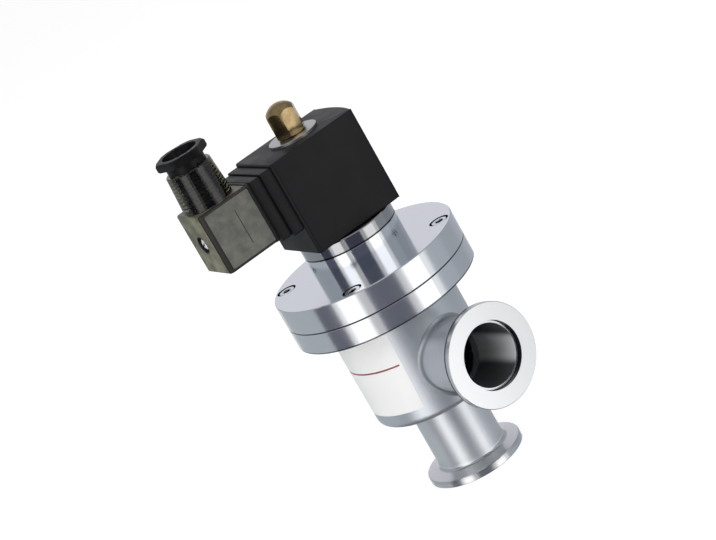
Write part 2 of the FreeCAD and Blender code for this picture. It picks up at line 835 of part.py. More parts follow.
os.makedirs("parts", exist_ok=True)
for name, make in pieces.items():
    make().exportStep("parts/" + name + ".step")
for name, (mean_d, cord, face_z) in seals.items():
    o_ring(mean_d, cord, face_z - cord).exportStep("parts/" + name + ".step")
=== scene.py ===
import math
import bpy
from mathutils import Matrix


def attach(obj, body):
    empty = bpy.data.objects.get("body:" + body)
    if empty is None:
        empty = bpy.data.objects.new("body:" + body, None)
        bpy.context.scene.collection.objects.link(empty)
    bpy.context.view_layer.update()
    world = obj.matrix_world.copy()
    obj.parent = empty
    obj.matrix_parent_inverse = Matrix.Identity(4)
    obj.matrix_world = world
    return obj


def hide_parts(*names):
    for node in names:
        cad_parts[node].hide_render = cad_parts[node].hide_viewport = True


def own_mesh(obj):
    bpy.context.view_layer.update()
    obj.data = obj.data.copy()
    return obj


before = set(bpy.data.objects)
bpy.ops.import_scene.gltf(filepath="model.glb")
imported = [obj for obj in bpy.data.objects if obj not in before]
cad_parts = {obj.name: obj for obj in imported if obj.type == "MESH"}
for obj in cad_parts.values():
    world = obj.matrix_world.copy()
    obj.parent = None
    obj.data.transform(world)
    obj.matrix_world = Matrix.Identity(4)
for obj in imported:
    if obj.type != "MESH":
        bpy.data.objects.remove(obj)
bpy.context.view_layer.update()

# A right-angle vacuum valve worked by a solenoid. It stands on its outlet flange, with the axis on Z
# and the side port along +X. It is built from the ports up to the coil, and then out to the connector.


# Valve body: can and bolting flange
# Stainless steel, turned from one billet. The can is bead blasted after turning, and the flange keeps
# its turned finish on top, rim and underside.
mm = 0.001
FLANGE_UNDERSIDE, BODY_TOP, FLANGE_R = 75.5, 84.5, 38.0


def linear(colour):
    """The linear values of an sRGB hex colour."""
    parts = [int(colour[i:i + 2], 16) / 255 for i in (1, 3, 5)]
    return [c / 12.92 if c <= 0.04045 else ((c + 0.055) / 1.055) ** 2.4 for c in parts] + [1]


def new_material(name):
    """A node material, its node tree and the piece's own coordinates in it."""
    made = bpy.data.materials.new(name)
    made.use_nodes = True
    made.node_tree.nodes.clear()
    return made, made.node_tree, add(made.node_tree, "TexCoord").outputs["Object"]


def add(tree, kind, inputs=(), **properties):
    """Adds a shader node with its properties and inputs. An input is a value, or the source linked to it.

    Inputs come by name, or as a list in the node's order: a MapRange lists its value, from min, from max, to
    min and to max. A node as a source stands for its first output in use.
    """
    made = tree.nodes.new("ShaderNode" + kind)
    for name, value in properties.items():
        setattr(made, name, value)
    if isinstance(inputs, dict):
        pairs = [(made.inputs[name], source) for name, source in inputs.items()]
    else:
        pairs = zip([socket for socket in made.inputs if socket.enabled], inputs)
    for socket, source in pairs:
        if isinstance(source, bpy.types.Node):
            source = next(output for output in source.outputs if output.enabled)
        if isinstance(source, bpy.types.NodeSocket):
            tree.links.new(source, socket)
        else:
            socket.default_value = source
    return made


def show(tree, kind, inputs):
    """Adds a shader as any other node and makes it the material's surface."""
    add(tree, "OutputMaterial", {"Surface": add(tree, kind, inputs)})


def finish(material, *nodes):
    """Gives CAD nodes their material."""
    for name in nodes:
        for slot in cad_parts[name].material_slots:
            slot.material = material


def about_axis(tree, place):
    """A place's height and its distance from the Z axis."""
    flat = add(tree, "VectorMath", [place, (1, 1, 0)], operation="MULTIPLY")
    height = add(tree, "SeparateXYZ", [place]).outputs["Z"]
    return height, add(tree, "VectorMath", [flat], operation="LENGTH")


def turning_marks(tree, place):
    """Tool marks of a lathe, as a value that runs in rings round the piece's axis.

    Their real spacing is about 0.1 mm, too fine to show, so they are drawn about 0.5 mm apart.
    """
    height, radius = about_axis(tree, place)
    along = add(tree, "Math", [radius, height], operation="ADD")
    return add(tree, "TexNoise", {"Scale": 1 / (0.5 * mm), "Detail": 3.0, "Roughness": 0.7, "W": along},
               noise_dimensions="1D")


body_steel, tree, place = new_material("blasted_and_turned_stainless")
# Blasting leaves a soft grey sheen with a fine even grain, and scatters part of the light as paint does.
# Turning leaves a brighter face with rings. The joint under the bonnet is a fine dark line. The lower edge
# of the flange is painted dark too: painted shade and reflection of the dark underside.
marks = turning_marks(tree, place)
grain = add(tree, "TexNoise", {"Scale": 1 / (0.5 * mm), "Vector": place})
clouds = add(tree, "TexNoise", {"Scale": 1 / (14 * mm), "Vector": place})
height, radius = about_axis(tree, place)
on_flange = add(tree, "Math", [height, (FLANGE_UNDERSIDE - 0.2) * mm], operation="GREATER_THAN")
relief = add(tree, "Mix", [on_flange, grain, marks])
rough_can = add(tree, "MapRange", [clouds, 0, 1, 0.35, 0.42])
rough_flange = add(tree, "MapRange", [marks, 0, 1, 0.14, 0.2])
rough = add(tree, "Mix", [on_flange, rough_can, rough_flange])
finish_colour = add(tree, "Mix", [on_flange, linear("#cfd3d8"), linear("#d8dade")], data_type="RGBA")
at_joint = add(tree, "Math", [height, BODY_TOP * mm, 0.25 * mm], operation="COMPARE")
# Painted shade: a dark line on the flange's lower outer edge
low = add(tree, "Math", [height, FLANGE_UNDERSIDE * mm, 0.7 * mm], operation="COMPARE")
outer = add(tree, "Math", [radius, (FLANGE_R - 0.7) * mm], operation="GREATER_THAN")
painted_shade_edge = add(tree, "Math", [low, outer], operation="MULTIPLY")
lines = add(tree, "Math", [at_joint, painted_shade_edge], operation="MAXIMUM")
colour = add(tree, "Mix", [lines, finish_colour, linear("#63676c")], data_type="RGBA")
metallic = add(tree, "Mix", [on_flange, 0.84, 0.94])
bump = add(tree, "Bump", {"Strength": 0.15, "Distance": 0.02 * mm, "Height": relief})
show(tree, "BsdfPrincipled", {"Base Color": colour, "Metallic": metallic, "Roughness": rough, "Normal": bump})
finish(body_steel, "valve_body")


# Ports: outlet tube below and side tube, each with its small flange
# Turned from stainless tube and bar. The outlet is brazed into the can's floor. The side port is welded
# on the can and blasted with it, up to its flange, which is faced bright after that.
PORT_REACH, BORE_R, CHAMBER_R = 50.0, 12.0, 23.5
RECESS_R, RECESS_WALL_R, FLANGE_RIM, FLANGE_BACK = 13.1, 13.6, 1.9, 5.2
# The side of the bore where a painted highlight streak runs
STREAK_SIDE = (-0.34, 0.94, 0)


def port_steel(name, tube_shade, painted_back_shade, tube_rough, root_r, turn=(0, 0, 0), centre=(0, 0, 0)):
    """Steel of a port, in the port's own frame: z is 0 on its sealing face and grows along the tube.

    The weld at the tube's root is dulled nearer to the valve's axis than root_r, and darkened there as
    painted shade along the junction. Inside, the drawn wall is dull and painted dark as shade in the bore,
    with painted
    highlights: a pale streak down one side and a pale band at the tube's inner end. The corner of the
    flange's recess is a painted dark ring of shade, and the flange's back is painted darker: painted shade
    and reflection.
    """
    made, tree, place = new_material(name)
    moved = add(tree, "Mapping", {"Location": centre, "Rotation": turn, "Vector": place},
                vector_type="TEXTURE")
    height, radius = about_axis(tree, moved)
    from_axis = about_axis(tree, place)[1]
    grain = add(tree, "TexNoise", {"Scale": 1 / (0.5 * mm), "Vector": moved})
    on_tube = add(tree, "Math", [height, FLANGE_BACK * mm], operation="GREATER_THAN")
    inside = add(tree, "Math", [radius, (BORE_R + 0.1) * mm], operation="LESS_THAN")
    # Painted shade along the junction with the can, over the weld's duller grey
    root = add(tree, "MapRange", [from_axis, root_r * mm, (root_r - 1.2) * mm, 0, 0.7])
    # Painted highlight: a pale band round the bore near the tube's inner end
    painted_inner_band = add(tree, "Math", [from_axis, (CHAMBER_R + 0.9) * mm, 0.4 * mm], operation="COMPARE")
    # Painted shade: a dark ring in the corner of the flange's recess
    step = add(tree, "Math", [radius, RECESS_R * mm, 0.25 * mm], operation="COMPARE")
    behind = add(tree, "Math", [height, 0.15 * mm], operation="GREATER_THAN")
    painted_shade_step = add(tree, "Math", [step, behind], operation="MULTIPLY")
    past_rim = add(tree, "Math", [height, FLANGE_RIM * mm], operation="GREATER_THAN")
    off_bore = add(tree, "Math", [radius, RECESS_WALL_R * mm], operation="GREATER_THAN")
    on_back = add(tree, "Math", [past_rim, off_bore], operation="MULTIPLY")
    # The flange's back is painted darker: painted shade and reflection
    flange = add(tree, "Mix", [on_back, linear("#d3d4d6"), linear(painted_back_shade)], data_type="RGBA")
    outside = add(tree, "Mix", [on_tube, flange, linear(tube_shade)], data_type="RGBA")
    weld_and_painted_shade = add(tree, "Mix", [root, outside, linear("#7d8187")], data_type="RGBA")
    # Painted highlight: a pale streak down one side of the bore
    sideways = add(tree, "VectorMath", [moved, STREAK_SIDE], operation="DOT_PRODUCT")
    towards = add(tree, "Math", [sideways, radius], operation="DIVIDE")
    painted_streak = add(tree, "MapRange", [towards, 0.84, 0.97], interpolation_type="SMOOTHSTEP")
    ground = add(tree, "Math", [painted_streak, painted_inner_band], operation="MAXIMUM")
    # The bore's wall is painted dark as shade in the bore, and pale where the painted highlights lie
    lining = add(tree, "Mix", [ground, linear("#6c6d70"), linear("#d9dddd")], data_type="RGBA")
    lined = add(tree, "Mix", [inside, weld_and_painted_shade, lining], data_type="RGBA")
    colour = add(tree, "Mix", [painted_shade_step, lined, linear("#2c2c2f")], data_type="RGBA")
    outside_rough = add(tree, "Mix", [on_tube, 0.2, tube_rough])
    rough = add(tree, "Mix", [inside, outside_rough, 0.3])
    outside_metallic = add(tree, "Mix", [on_tube, 0.9, 0.8])
    inside_metallic = add(tree, "Mix", [ground, 0.6, 0.15])
    metallic = add(tree, "Mix", [inside, outside_metallic, inside_metallic])
    bump = add(tree, "Bump", {"Strength": 0.12, "Distance": 0.02 * mm, "Height": grain})
    show(tree, "BsdfPrincipled", {"Base Color": colour, "Metallic": metallic, "Roughness": rough,
                                  "Normal": bump})
    return made


# Satin: long soft stripes down the outlet tube, and a bright rim and face on both flanges
finish(port_steel("satin_stainless_outlet", "#d6d9dc", "#c9cacd", 0.38, 0), "outlet_port")
# The side flange's back is painted dark grey: painted shade and reflection behind the flange
finish(port_steel("blasted_stainless_side", "#cbced3", "#6a6d72", 0.42, 28.2, (0, math.radians(-90), 0),
                  (PORT_REACH * mm, 0, PORT_REACH * mm)), "side_port")


# Body label
# White vinyl film stuck round the front of the can, right under the flange. A thin red line is printed
# across its middle.
LABEL_FROM, LABEL_TO, LABEL_SKEW = -148, -45.5, 3
LABEL_LOW, LABEL_HIGH = 38.7, 74.6
LABEL_RADIUS, LABEL_THICKNESS = 26.02, 0.06
RED_LINE_Z, RED_LINE_W = 58.0, 0.7
RED_LINE_LEFT, RED_LINE_RIGHT = -21.0, 18.0


def primitive(name, operator, **settings):
    """One of Blender's basic shapes, alone selected."""
    bpy.ops.object.select_all(action="DESELECT")
    operator(**settings)
    bpy.context.object.name = name
    return bpy.context.object


def activate(piece):
    """Makes a piece the only one selected."""
    bpy.ops.object.select_all(action="DESELECT")
    piece.select_set(True)
    bpy.context.view_layer.objects.active = piece


def edit_all():
    """Goes into edit mode with everything selected."""
    bpy.ops.object.mode_set(mode="EDIT")
    bpy.ops.mesh.select_all(action="SELECT")


def trace(name, points):
    """A line through points in mm, drawn by extruding one corner after another. It stays in edit mode."""
    line = primitive(name, bpy.ops.mesh.primitive_plane_add, size=mm)
    edit_all()
    bpy.ops.mesh.merge(type="CENTER")
    bpy.ops.transform.translate(value=[c * mm for c in points[0]])
    for start, end in zip(points, points[1:]):
        step = [(b - a) * mm for a, b in zip(start, end)]
        bpy.ops.mesh.extrude_region_move(TRANSFORM_OT_translate={"value": step})
    return line


def mend():
    """Merges doubled points and turns all faces outwards."""
    bpy.ops.mesh.select_all(action="SELECT")
    bpy.ops.mesh.remove_doubles(threshold=0.0005 * mm)
    bpy.ops.mesh.normals_make_consistent()


def pick(piece, kind, test):
    """Selects a piece's points ("VERT") or edges ("EDGE") that pass a test of their places in mm."""
    bpy.ops.object.mode_set(mode="OBJECT")
    bpy.context.tool_settings.mesh_select_mode = (kind == "VERT", kind == "EDGE", False)
    bpy.ops.object.mode_set(mode="EDIT")
    bpy.ops.mesh.select_all(action="DESELECT")
    bpy.ops.object.mode_set(mode="OBJECT")
    points = [v.co / mm for v in piece.data.vertices]
    if kind == "VERT":
        for vertex in piece.data.vertices:
            vertex.select = test(points[vertex.index])
    else:
        for edge in piece.data.edges:
            edge.select = test(*(points[i] for i in edge.vertices))
    bpy.ops.object.mode_set(mode="EDIT")


def upright_sheet(name, radius, low, high, start, end, steps=48):
    """An upright sheet round the valve's axis, from one angle to another in degrees."""
    a = math.radians(start)
    x, y = radius * math.cos(a), radius * math.sin(a)
    sheet = trace(name, [(x, y, low), (x, y, high)])
    bpy.ops.mesh.select_all(action="SELECT")
    # The operator turns clockwise for a positive angle
    bpy.ops.mesh.spin(steps=steps, angle=-math.radians(end - start), center=(0, 0, 0), axis=(0, 0, 1))
    mend()
    bpy.ops.object.mode_set(mode="OBJECT")
    return sheet


def apply(piece, kind, **settings):
    """Gives a piece a modifier with its settings, and applies it."""
    activate(piece)
    made = piece.modifiers.new("step", kind)
    for name, value in settings.items():
        setattr(made, name, value)
    bpy.ops.object.modifier_apply(modifier="step")


body_label = upright_sheet("body_label", LABEL_RADIUS, LABEL_LOW, LABEL_HIGH, LABEL_FROM, LABEL_TO)
pick(body_label, "VERT", lambda p: p.z > LABEL_HIGH - 0.1)
bpy.ops.transform.rotate(value=-math.radians(LABEL_SKEW), orient_axis="Z", center_override=(0, 0, 0))
bpy.ops.object.mode_set(mode="OBJECT")
apply(body_label, "SOLIDIFY", thickness=LABEL_THICKNESS * mm, offset=1)
bpy.ops.object.shade_smooth_by_angle(angle=math.radians(30))

vinyl, tree, place = new_material("printed_vinyl_film")
# Semi-matt vinyl, so white that it takes on the studio's light, with the line's ink flat in it.
parts = add(tree, "SeparateXYZ", [place]).outputs
line_z = add(tree, "Math", [parts["Z"], RED_LINE_Z * mm, RED_LINE_W / 2 * mm], operation="COMPARE")
line_x = add(tree, "Math", [parts["X"], (RED_LINE_LEFT + RED_LINE_RIGHT) / 2 * mm,
                            (RED_LINE_RIGHT - RED_LINE_LEFT) / 2 * mm], operation="COMPARE")
on_line = add(tree, "Math", [line_z, line_x], operation="MULTIPLY")
colour = add(tree, "Mix", [on_line, linear("#f2f2f1"), linear("#8f3f45")], data_type="RGBA")
waves = add(tree, "TexNoise", {"Scale": 1 / (6 * mm), "Vector": place})
rough = add(tree, "MapRange", [waves, 0, 1, 0.28, 0.42])
bump = add(tree, "Bump", {"Strength": 0.15, "Distance": 0.05 * mm, "Height": waves})
show(tree, "BsdfPrincipled", {"IOR": 1.5, "Base Color": colour, "Roughness": rough, "Normal": bump})
body_label.data.materials.append(vinyl)
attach(body_label, "valve")


# Valve disc with its seal
# A turned steel disc with a flat fluororubber ring in its recess, held by a steel plate and a slotted
# screw. It comes down on the outlet tube's lip.
def moulded(name, shade, low, high, grain, depth, gloss=0.5):
    """A moulded plastic or rubber: its roughness goes from low to high, and its skin has a fine grain.

    The grain is given in mm, as wide and as deep as it needs to be to show. Gloss is 0.5 on a clean skin, and
    less where filler or a dull bloom lies in it.
    """
    made, tree, place = new_material(name)
    skin = add(tree, "TexNoise", {"Scale": 1 / (grain * mm), "Detail": 3.0, "Roughness": 0.6,
                                  "Vector": place})
    flow = add(tree, "TexNoise", {"Scale": 1 / (9 * mm), "Vector": place})
    rough = add(tree, "MapRange", [flow, 0.3, 0.7, low, high])
    bump = add(tree, "Bump", {"Strength": 0.5, "Distance": depth * mm, "Height": skin})
    show(tree, "BsdfPrincipled", {"Base Color": linear(shade), "IOR": 1.5, "Specular IOR Level": gloss,
                                  "Roughness": rough, "Normal": bump})
    return made


def turned_metal(name, shade, low, high):
    """A turned metal whose roughness goes from low to high from ring to ring."""
    made, tree, place = new_material(name)
    marks = turning_marks(tree, place)
    rough = add(tree, "MapRange", [marks, 0.3, 0.7, low, high])
    bump = add(tree, "Bump", {"Strength": 0.1, "Distance": 0.02 * mm, "Height": marks})
    show(tree, "BsdfPrincipled", {"Metallic": 1.0, "Base Color": linear(shade), "Roughness": rough,
                                  "Normal": bump})
    return made


# Bright turned steel; the rubber is a dull brown black
finish(turned_metal("turned_stainless_disc", "#c9ccd1", 0.2, 0.32), "valve_disc", "seal_retainer")
finish(turned_metal("zinc_plated_retainer_screw", "#c3c6c9", 0.25, 0.4), "retainer_screw")
fluororubber = moulded("fluororubber", "#23201f", 0.5, 0.65, 0.4, 0.02)
finish(fluororubber, "disc_seal", "bonnet_seal", "tube_seal")


# Plunger, guide bush and fixed core
# Magnetic stainless steel: the armature with its stem and vent grooves, and the core welded into the
# tube above it with a copper shading ring in its face. The plunger slides in a bronze bush.
finish(turned_metal("magnetic_stainless", "#bfc1c4", 0.2, 0.34), "plunger", "pole_piece")
finish(turned_metal("copper", "#c98563", 0.25, 0.4), "shading_ring")
finish(turned_metal("tin_bronze", "#b08d57", 0.28, 0.42), "guide_bush")
finish(turned_metal("drawn_stainless_tube", "#c8cbd0", 0.14, 0.24), "armature_tube")


# Return spring
# Round spring wire coiled hot, with closed ends ground flat. It stands on the disc and pushes it down
# from the bush, so it shortens as the plunger lifts.
SPRING_RADIUS, WIRE_RADIUS = 10.2, 0.8
SPRING_FOOT, SPRING_HEAD, PLUNGER_LIFT = 43.55, 81.0, 7.0
FREE_HALVES, CLOSED_HALVES, CLOSED_RISE, GROUND = 12, 2, 0.84, 0.4

return_spring = primitive("return_spring_wire", bpy.ops.mesh.primitive_circle_add, vertices=16,
                          radius=WIRE_RADIUS * mm, fill_type="NGON", rotation=(math.radians(90), 0, 0),
                          location=(SPRING_RADIUS * mm, 0, (SPRING_FOOT + GROUND) * mm))
bpy.ops.object.transform_apply()
edit_all()
height, side = SPRING_FOOT + GROUND, 1
free_rise = (SPRING_HEAD - SPRING_FOOT - 2 * GROUND - 2 * CLOSED_HALVES * CLOSED_RISE) / FREE_HALVES
for rise in [CLOSED_RISE] * CLOSED_HALVES + [free_rise] * FREE_HALVES + [CLOSED_RISE] * CLOSED_HALVES:
    bpy.ops.mesh.spin(steps=24, angle=-math.pi, center=(0, 0, (height + rise / 2) * mm),
                      axis=(side * rise / 2 / SPRING_RADIUS, 0, 1))
    height, side = height + rise, -side
bpy.ops.mesh.select_all(action="SELECT")
bpy.ops.mesh.bisect(plane_co=(0, 0, SPRING_FOOT * mm), plane_no=(0, 0, 1), use_fill=True, clear_inner=True,
                    threshold=0.001 * mm)
bpy.ops.mesh.select_all(action="SELECT")
bpy.ops.mesh.bisect(plane_co=(0, 0, SPRING_HEAD * mm), plane_no=(0, 0, 1), use_fill=True, clear_outer=True,
                    threshold=0.001 * mm)
bpy.ops.mesh.select_all(action="SELECT")
bpy.ops.mesh.fill_holes(sides=0)
mend()
bpy.ops.object.mode_set(mode="OBJECT")
bpy.ops.object.shade_smooth_by_angle(angle=math.radians(40))

spring_wire, tree, place = new_material("spring_steel_wire")
# Drawn wire: a dark grey steel with fine draw lines, here only a broken gloss.
draw = add(tree, "TexNoise", {"Scale": 1 / (0.8 * mm), "Detail": 3.0, "Vector": place})
rough = add(tree, "MapRange", [draw, 0, 1, 0.2, 0.4])
show(tree, "BsdfPrincipled", {"Metallic": 1.0, "Base Color": linear("#a6a8ab"), "Roughness": rough})
return_spring.data.materials.append(spring_wire)
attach(return_spring, "valve")
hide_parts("return_spring")
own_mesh(return_spring)


# Bonnet
# The upper flange with its hub, turned from stainless bar. The hub and the top are polished, so the hub
# is mirrored in the top, and the rim is left with its finer turned finish.
RIM_R, BONNET_TOP, HUB_TOP = 38.0, 94.8, 104.9

bonnet_steel, tree, place = new_material("polished_stainless_bonnet")
# Nearly a mirror on the hub, a soft mirror on the top, and blurred upright stripes on the rim. The joints
# with the body and the ring are fine dark lines, and the screws' counterbores are painted dark: painted
# shade.
marks = turning_marks(tree, place)
height, radius = about_axis(tree, place)
on_rim = add(tree, "Math", [radius, (RIM_R - 0.3) * mm], operation="GREATER_THAN")
on_hub = add(tree, "Math", [height, (BONNET_TOP + 0.1) * mm], operation="GREATER_THAN")
off_rim = add(tree, "Mix", [on_hub, 0.12, 0.06])
evenly = add(tree, "Mix", [on_rim, off_rim, 0.15])
uneven = add(tree, "MapRange", [marks, 0.3, 0.7, 0, 0.04])
rough = add(tree, "Math", [evenly, uneven], operation="ADD")
at_joint = add(tree, "Math", [height, BODY_TOP * mm, 0.25 * mm], operation="COMPARE")
at_ring = add(tree, "Math", [height, HUB_TOP * mm, 0.3 * mm], operation="COMPARE")
# Painted shade: the screws' counterbores are darkened
sunk = add(tree, "Math", [height, (BONNET_TOP - 2.2) * mm, 2.15 * mm], operation="COMPARE")
off_edge = add(tree, "Math", [radius, (RIM_R - 0.6) * mm], operation="LESS_THAN")
shaded_counterbore = add(tree, "Math", [sunk, off_edge], operation="MULTIPLY")
lines = add(tree, "Math", [at_joint, at_ring], operation="MAXIMUM")
joints_and_painted_shade = add(tree, "Math", [lines, shaded_counterbore], operation="MAXIMUM")
colour = add(tree, "Mix", [joints_and_painted_shade, linear("#d8dade"), linear("#55585d")], data_type="RGBA")
metallic = add(tree, "Mix", [on_rim, 1.0, 0.94])
relief = add(tree, "Mix", [on_hub, 0.06, 0.5])
bump = add(tree, "Bump", {"Distance": 0.03 * mm, "Height": marks, "Strength": relief})
show(tree, "BsdfPrincipled", {"Base Color": colour, "Metallic": metallic, "Roughness": rough, "Normal": bump})
finish(bonnet_steel, "bonnet")


# Bonnet screws
# Four M4 socket-head screws of bright zinc-plated steel, sunk in counterbores, with a straight knurl
# round the head. Each was tightened to an angle of its own.
HEAD_Z, HEAD_H, HEAD_R, KNURL = 90.6, 4.0, 3.5, 72
SHANK_R, SHANK_LENGTH, SCREW_PITCH = 2.0, 14.0, 0.7
HEX_ACROSS, HEX_DEPTH = 3.0, 2.2
SCREW_CIRCLE_R = 33.0


def turned(name, section, steps=96):
    """A piece turned about the valve's axis from its half section, as (radius, height) in mm.

    Six steps make it a hexagon with its corners at that radius.
    """
    piece = trace(name, [(r, 0, z) for r, z in section])
    bpy.ops.mesh.select_all(action="SELECT")
    bpy.ops.mesh.spin(steps=steps, angle=-2 * math.pi, center=(0, 0, 0), axis=(0, 0, 1))
    mend()
    bpy.ops.object.mode_set(mode="OBJECT")
    return piece


def rod(name, radius, low, high, steps=96):
    """A plain turned bar, from one height to another."""
    return turned(name, [(0, low), (radius, low), (radius, high), (0, high)], steps)


def combine(piece, tool, operation="DIFFERENCE"):
    """Cuts a piece with a tool, joins them, or keeps what they share. The tool is used up."""
    apply(piece, "BOOLEAN", object=tool, operation=operation, solver="EXACT")
    bpy.data.objects.remove(tool)


def soften(piece, width, angle=30):
    """Breaks a piece's sharp edges and smooths its faces."""
    if width:
        apply(piece, "BEVEL", width=width * mm, segments=2, limit_method="ANGLE",
              angle_limit=math.radians(angle))
    activate(piece)
    bpy.ops.object.shade_smooth_by_angle(angle=math.radians(35))


def move(piece, x=0.0, y=0.0, turn=0.0):
    """Turns a piece about the valve's axis in degrees and moves it in mm, within its mesh."""
    activate(piece)
    piece.rotation_euler = (0, 0, math.radians(turn))
    piece.location = (x * mm, y * mm, 0)
    bpy.ops.object.transform_apply()


def copy(piece, name):
    """A copy with its own mesh."""
    made = piece.copy()
    made.data = piece.data.copy()
    made.name = name
    bpy.context.collection.objects.link(made)
    return made


def threaded_bar(name, crest, root, pitch, low, turns, steps):
    """A bar with a right-hand thread, closed at both ends."""
    bar = trace(name, [(root, 0, low), (crest, 0, low + 0.42 * pitch), (crest, 0, low + 0.58 * pitch),
                       (root, 0, low + pitch)])
    bpy.ops.object.mode_set(mode="OBJECT")
    apply(bar, "SCREW", axis="Z", screw_offset=pitch * mm, iterations=turns, steps=steps, render_steps=steps,
          use_merge_vertices=True)
    edit_all()
    bpy.ops.mesh.remove_doubles(threshold=0.0005 * mm)
    bpy.ops.mesh.fill_holes(sides=0)
    mend()
    bpy.ops.object.mode_set(mode="OBJECT")
    return bar


def join(piece, other):
    """Makes another piece part of this one."""
    activate(piece)
    other.select_set(True)
    bpy.ops.object.join()


screw = turned("bonnet_screw_1", [(0, HEAD_Z), (HEAD_R - 0.25, HEAD_Z), (HEAD_R, HEAD_Z + 0.25),
                                  (HEAD_R, HEAD_Z + HEAD_H - 0.6), (HEAD_R - 0.45, HEAD_Z + HEAD_H),
                                  (0, HEAD_Z + HEAD_H)], steps=KNURL)
pick(screw, "VERT", lambda p: math.hypot(p.x, p.y) > HEAD_R - 0.1
     and round(math.degrees(math.atan2(p.y, p.x)) * KNURL / 360) % 2 == 0)
bpy.ops.transform.resize(value=(0.965, 0.965, 1), center_override=(0, 0, 0))
bpy.ops.object.mode_set(mode="OBJECT")
corner, top = HEX_ACROSS / math.sqrt(3), HEAD_Z + HEAD_H
combine(screw, turned("hex_key_hole", [(0, top - HEX_DEPTH - 0.7), (corner, top - HEX_DEPTH),
                                       (corner, top + 1), (0, top + 1)], steps=6))
combine(screw, turned("hole_mouth", [(0, top - 0.3), (corner - 0.25, top - 0.3), (corner + 0.25, top + 0.2),
                                     (0, top + 0.2)], steps=48))
soften(screw, 0)
join(screw, threaded_bar("shank", SHANK_R, SHANK_R - 0.4, SCREW_PITCH, HEAD_Z - SHANK_LENGTH,
                         round(SHANK_LENGTH / SCREW_PITCH) - 1, steps=24))

bright_zinc, tree, place = new_material("bright_zinc_plating")
# Thin blue-white plating over pressed and rolled steel: bright and a little cloudy on top. Below the top of
# the head, the knurl, the key's hole and the shank are painted dark grey: painted shade of the counterbore
# and hole.
clouds = add(tree, "TexNoise", {"Scale": 1 / (1.5 * mm), "Detail": 3.0, "Vector": place})
rough = add(tree, "MapRange", [clouds, 0.3, 0.7, 0.16, 0.34])
shiny = add(tree, "Mix", [clouds, linear("#d9dcdf"), linear("#c6cacf")], data_type="RGBA")
height = add(tree, "SeparateXYZ", [place]).outputs["Z"]
# Painted shade: all below the head's top, in the counterbore and the key's hole, is darkened
sunk = add(tree, "Math", [height, (HEAD_Z + HEAD_H - 0.55) * mm], operation="LESS_THAN")
colour = add(tree, "Mix", [sunk, shiny, linear("#55585c")], data_type="RGBA")
show(tree, "BsdfPrincipled", {"Metallic": 1.0, "Base Color": colour, "Roughness": rough})
screw.data.materials.append(bright_zinc)
screws = [screw] + [copy(screw, f"bonnet_screw_{i}") for i in (2, 3, 4)]
for i, each in enumerate(screws):
    a = math.radians(45 + 90 * i)
    move(each, SCREW_CIRCLE_R * math.cos(a), SCREW_CIRCLE_R * math.sin(a), turn=17 + 23 * i)
    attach(each, "valve")
    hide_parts("bonnet_screws")


# Clamp ring
# Turned from stainless bar and polished like the hub. It screws into the hub, holds the armature tube
# down and carries the coil.
# Polished like the hub, but its grey is darker: painted shade under the coil
finish(turned_metal("polished_stainless_ring_painted_shade", "#a9a9ab", 0.07, 0.14), "clamp_ring")


# Coil housing
# Glass-filled thermoset moulded round the bobbin and yoke, bowed at its far end, with the stepped neck
# that the connector plugs on. It is turned a little about the valve's axis.
COIL_TURN = -6.45
COIL_LOW, COIL_HIGH = 109.85, 148.55
COIL_HALF, COIL_NEAR, COIL_FAR, COIL_CROWN = 16.0, -20.3, 18.8, 20.8
NEAR_CORNER_R, FAR_CORNER_R, TOP_EDGE_R, NECK_EDGE_R = 1.5, 4.0, 0.7, 1.0
# Of each step of the neck: its start and end, half width and half height
NECK_Z, NECK_STEPS = 134.2, ((-20.3, -25.0, 14.7, 13.4), (-25.0, -29.5, 13.5, 12.8))
NECK_GROOVE, NECK_END = 0.35, -35
BOW_R, TUBE_HOLE_R, BOBBIN_R, BOBBIN_LOW, BOBBIN_HIGH = 65, 8.3, 14, 113.85, 144.55
YOKE_HALF, YOKE_NEAR, YOKE_FAR, YOKE_LOW, YOKE_T = 12, -14, 17.2, 111.45, 2.4
BLADE_X, BLADE_Y, BLADE_HALF_W, BLADE_HALF_T, EARTH_Z = 5.5, -16.3, 2.4, 0.4, 126.8
SCREW_HOLE_R, SCREW_HOLE_Y = 1.55, -23.9


def block(name, x0, x1, y0, y1, z0, z1):
    """A block between its faces, in mm: the start of a moulding, or a tool to cut one."""
    made = primitive(name, bpy.ops.mesh.primitive_cube_add, size=mm)
    edit_all()
    bpy.ops.transform.resize(value=(x1 - x0, y1 - y0, z1 - z0), center_override=(0, 0, 0))
    bpy.ops.transform.translate(value=((x0 + x1) / 2 * mm, (y0 + y1) / 2 * mm, (z0 + z1) / 2 * mm))
    bpy.ops.object.mode_set(mode="OBJECT")
    return made


def round_edges(piece, radius, segments, test):
    """Rounds the edges that pass a test of their ends' places."""
    pick(piece, "EDGE", test)
    bpy.ops.mesh.bevel(offset=radius * mm, segments=segments, affect="EDGES")
    bpy.ops.object.mode_set(mode="OBJECT")
    bpy.context.tool_settings.mesh_select_mode = (True, False, False)


def upright(x, y):
    """Test for the upright edges at a corner, either side of the middle."""
    return lambda a, b: (abs(a.x - b.x) + abs(a.y - b.y) < 0.01 and abs(abs(a.x) - x) < 0.05
                         and abs(a.y - y) < 0.3)


def lengthwise(a, b):
    """Test for edges along the connector."""
    return abs(a.x - b.x) + abs(a.z - b.z) < 0.01


def pin(name, radius, y0, y1):
    """A round bar on the connector screw's axis, from y0 to y1."""
    made = primitive(name, bpy.ops.mesh.primitive_cylinder_add, vertices=48, radius=radius * mm,
                     depth=abs(y1 - y0) * mm, location=(0, (y0 + y1) / 2 * mm, NECK_Z * mm),
                     rotation=(math.radians(90), 0, 0))
    bpy.ops.object.transform_apply()
    return made


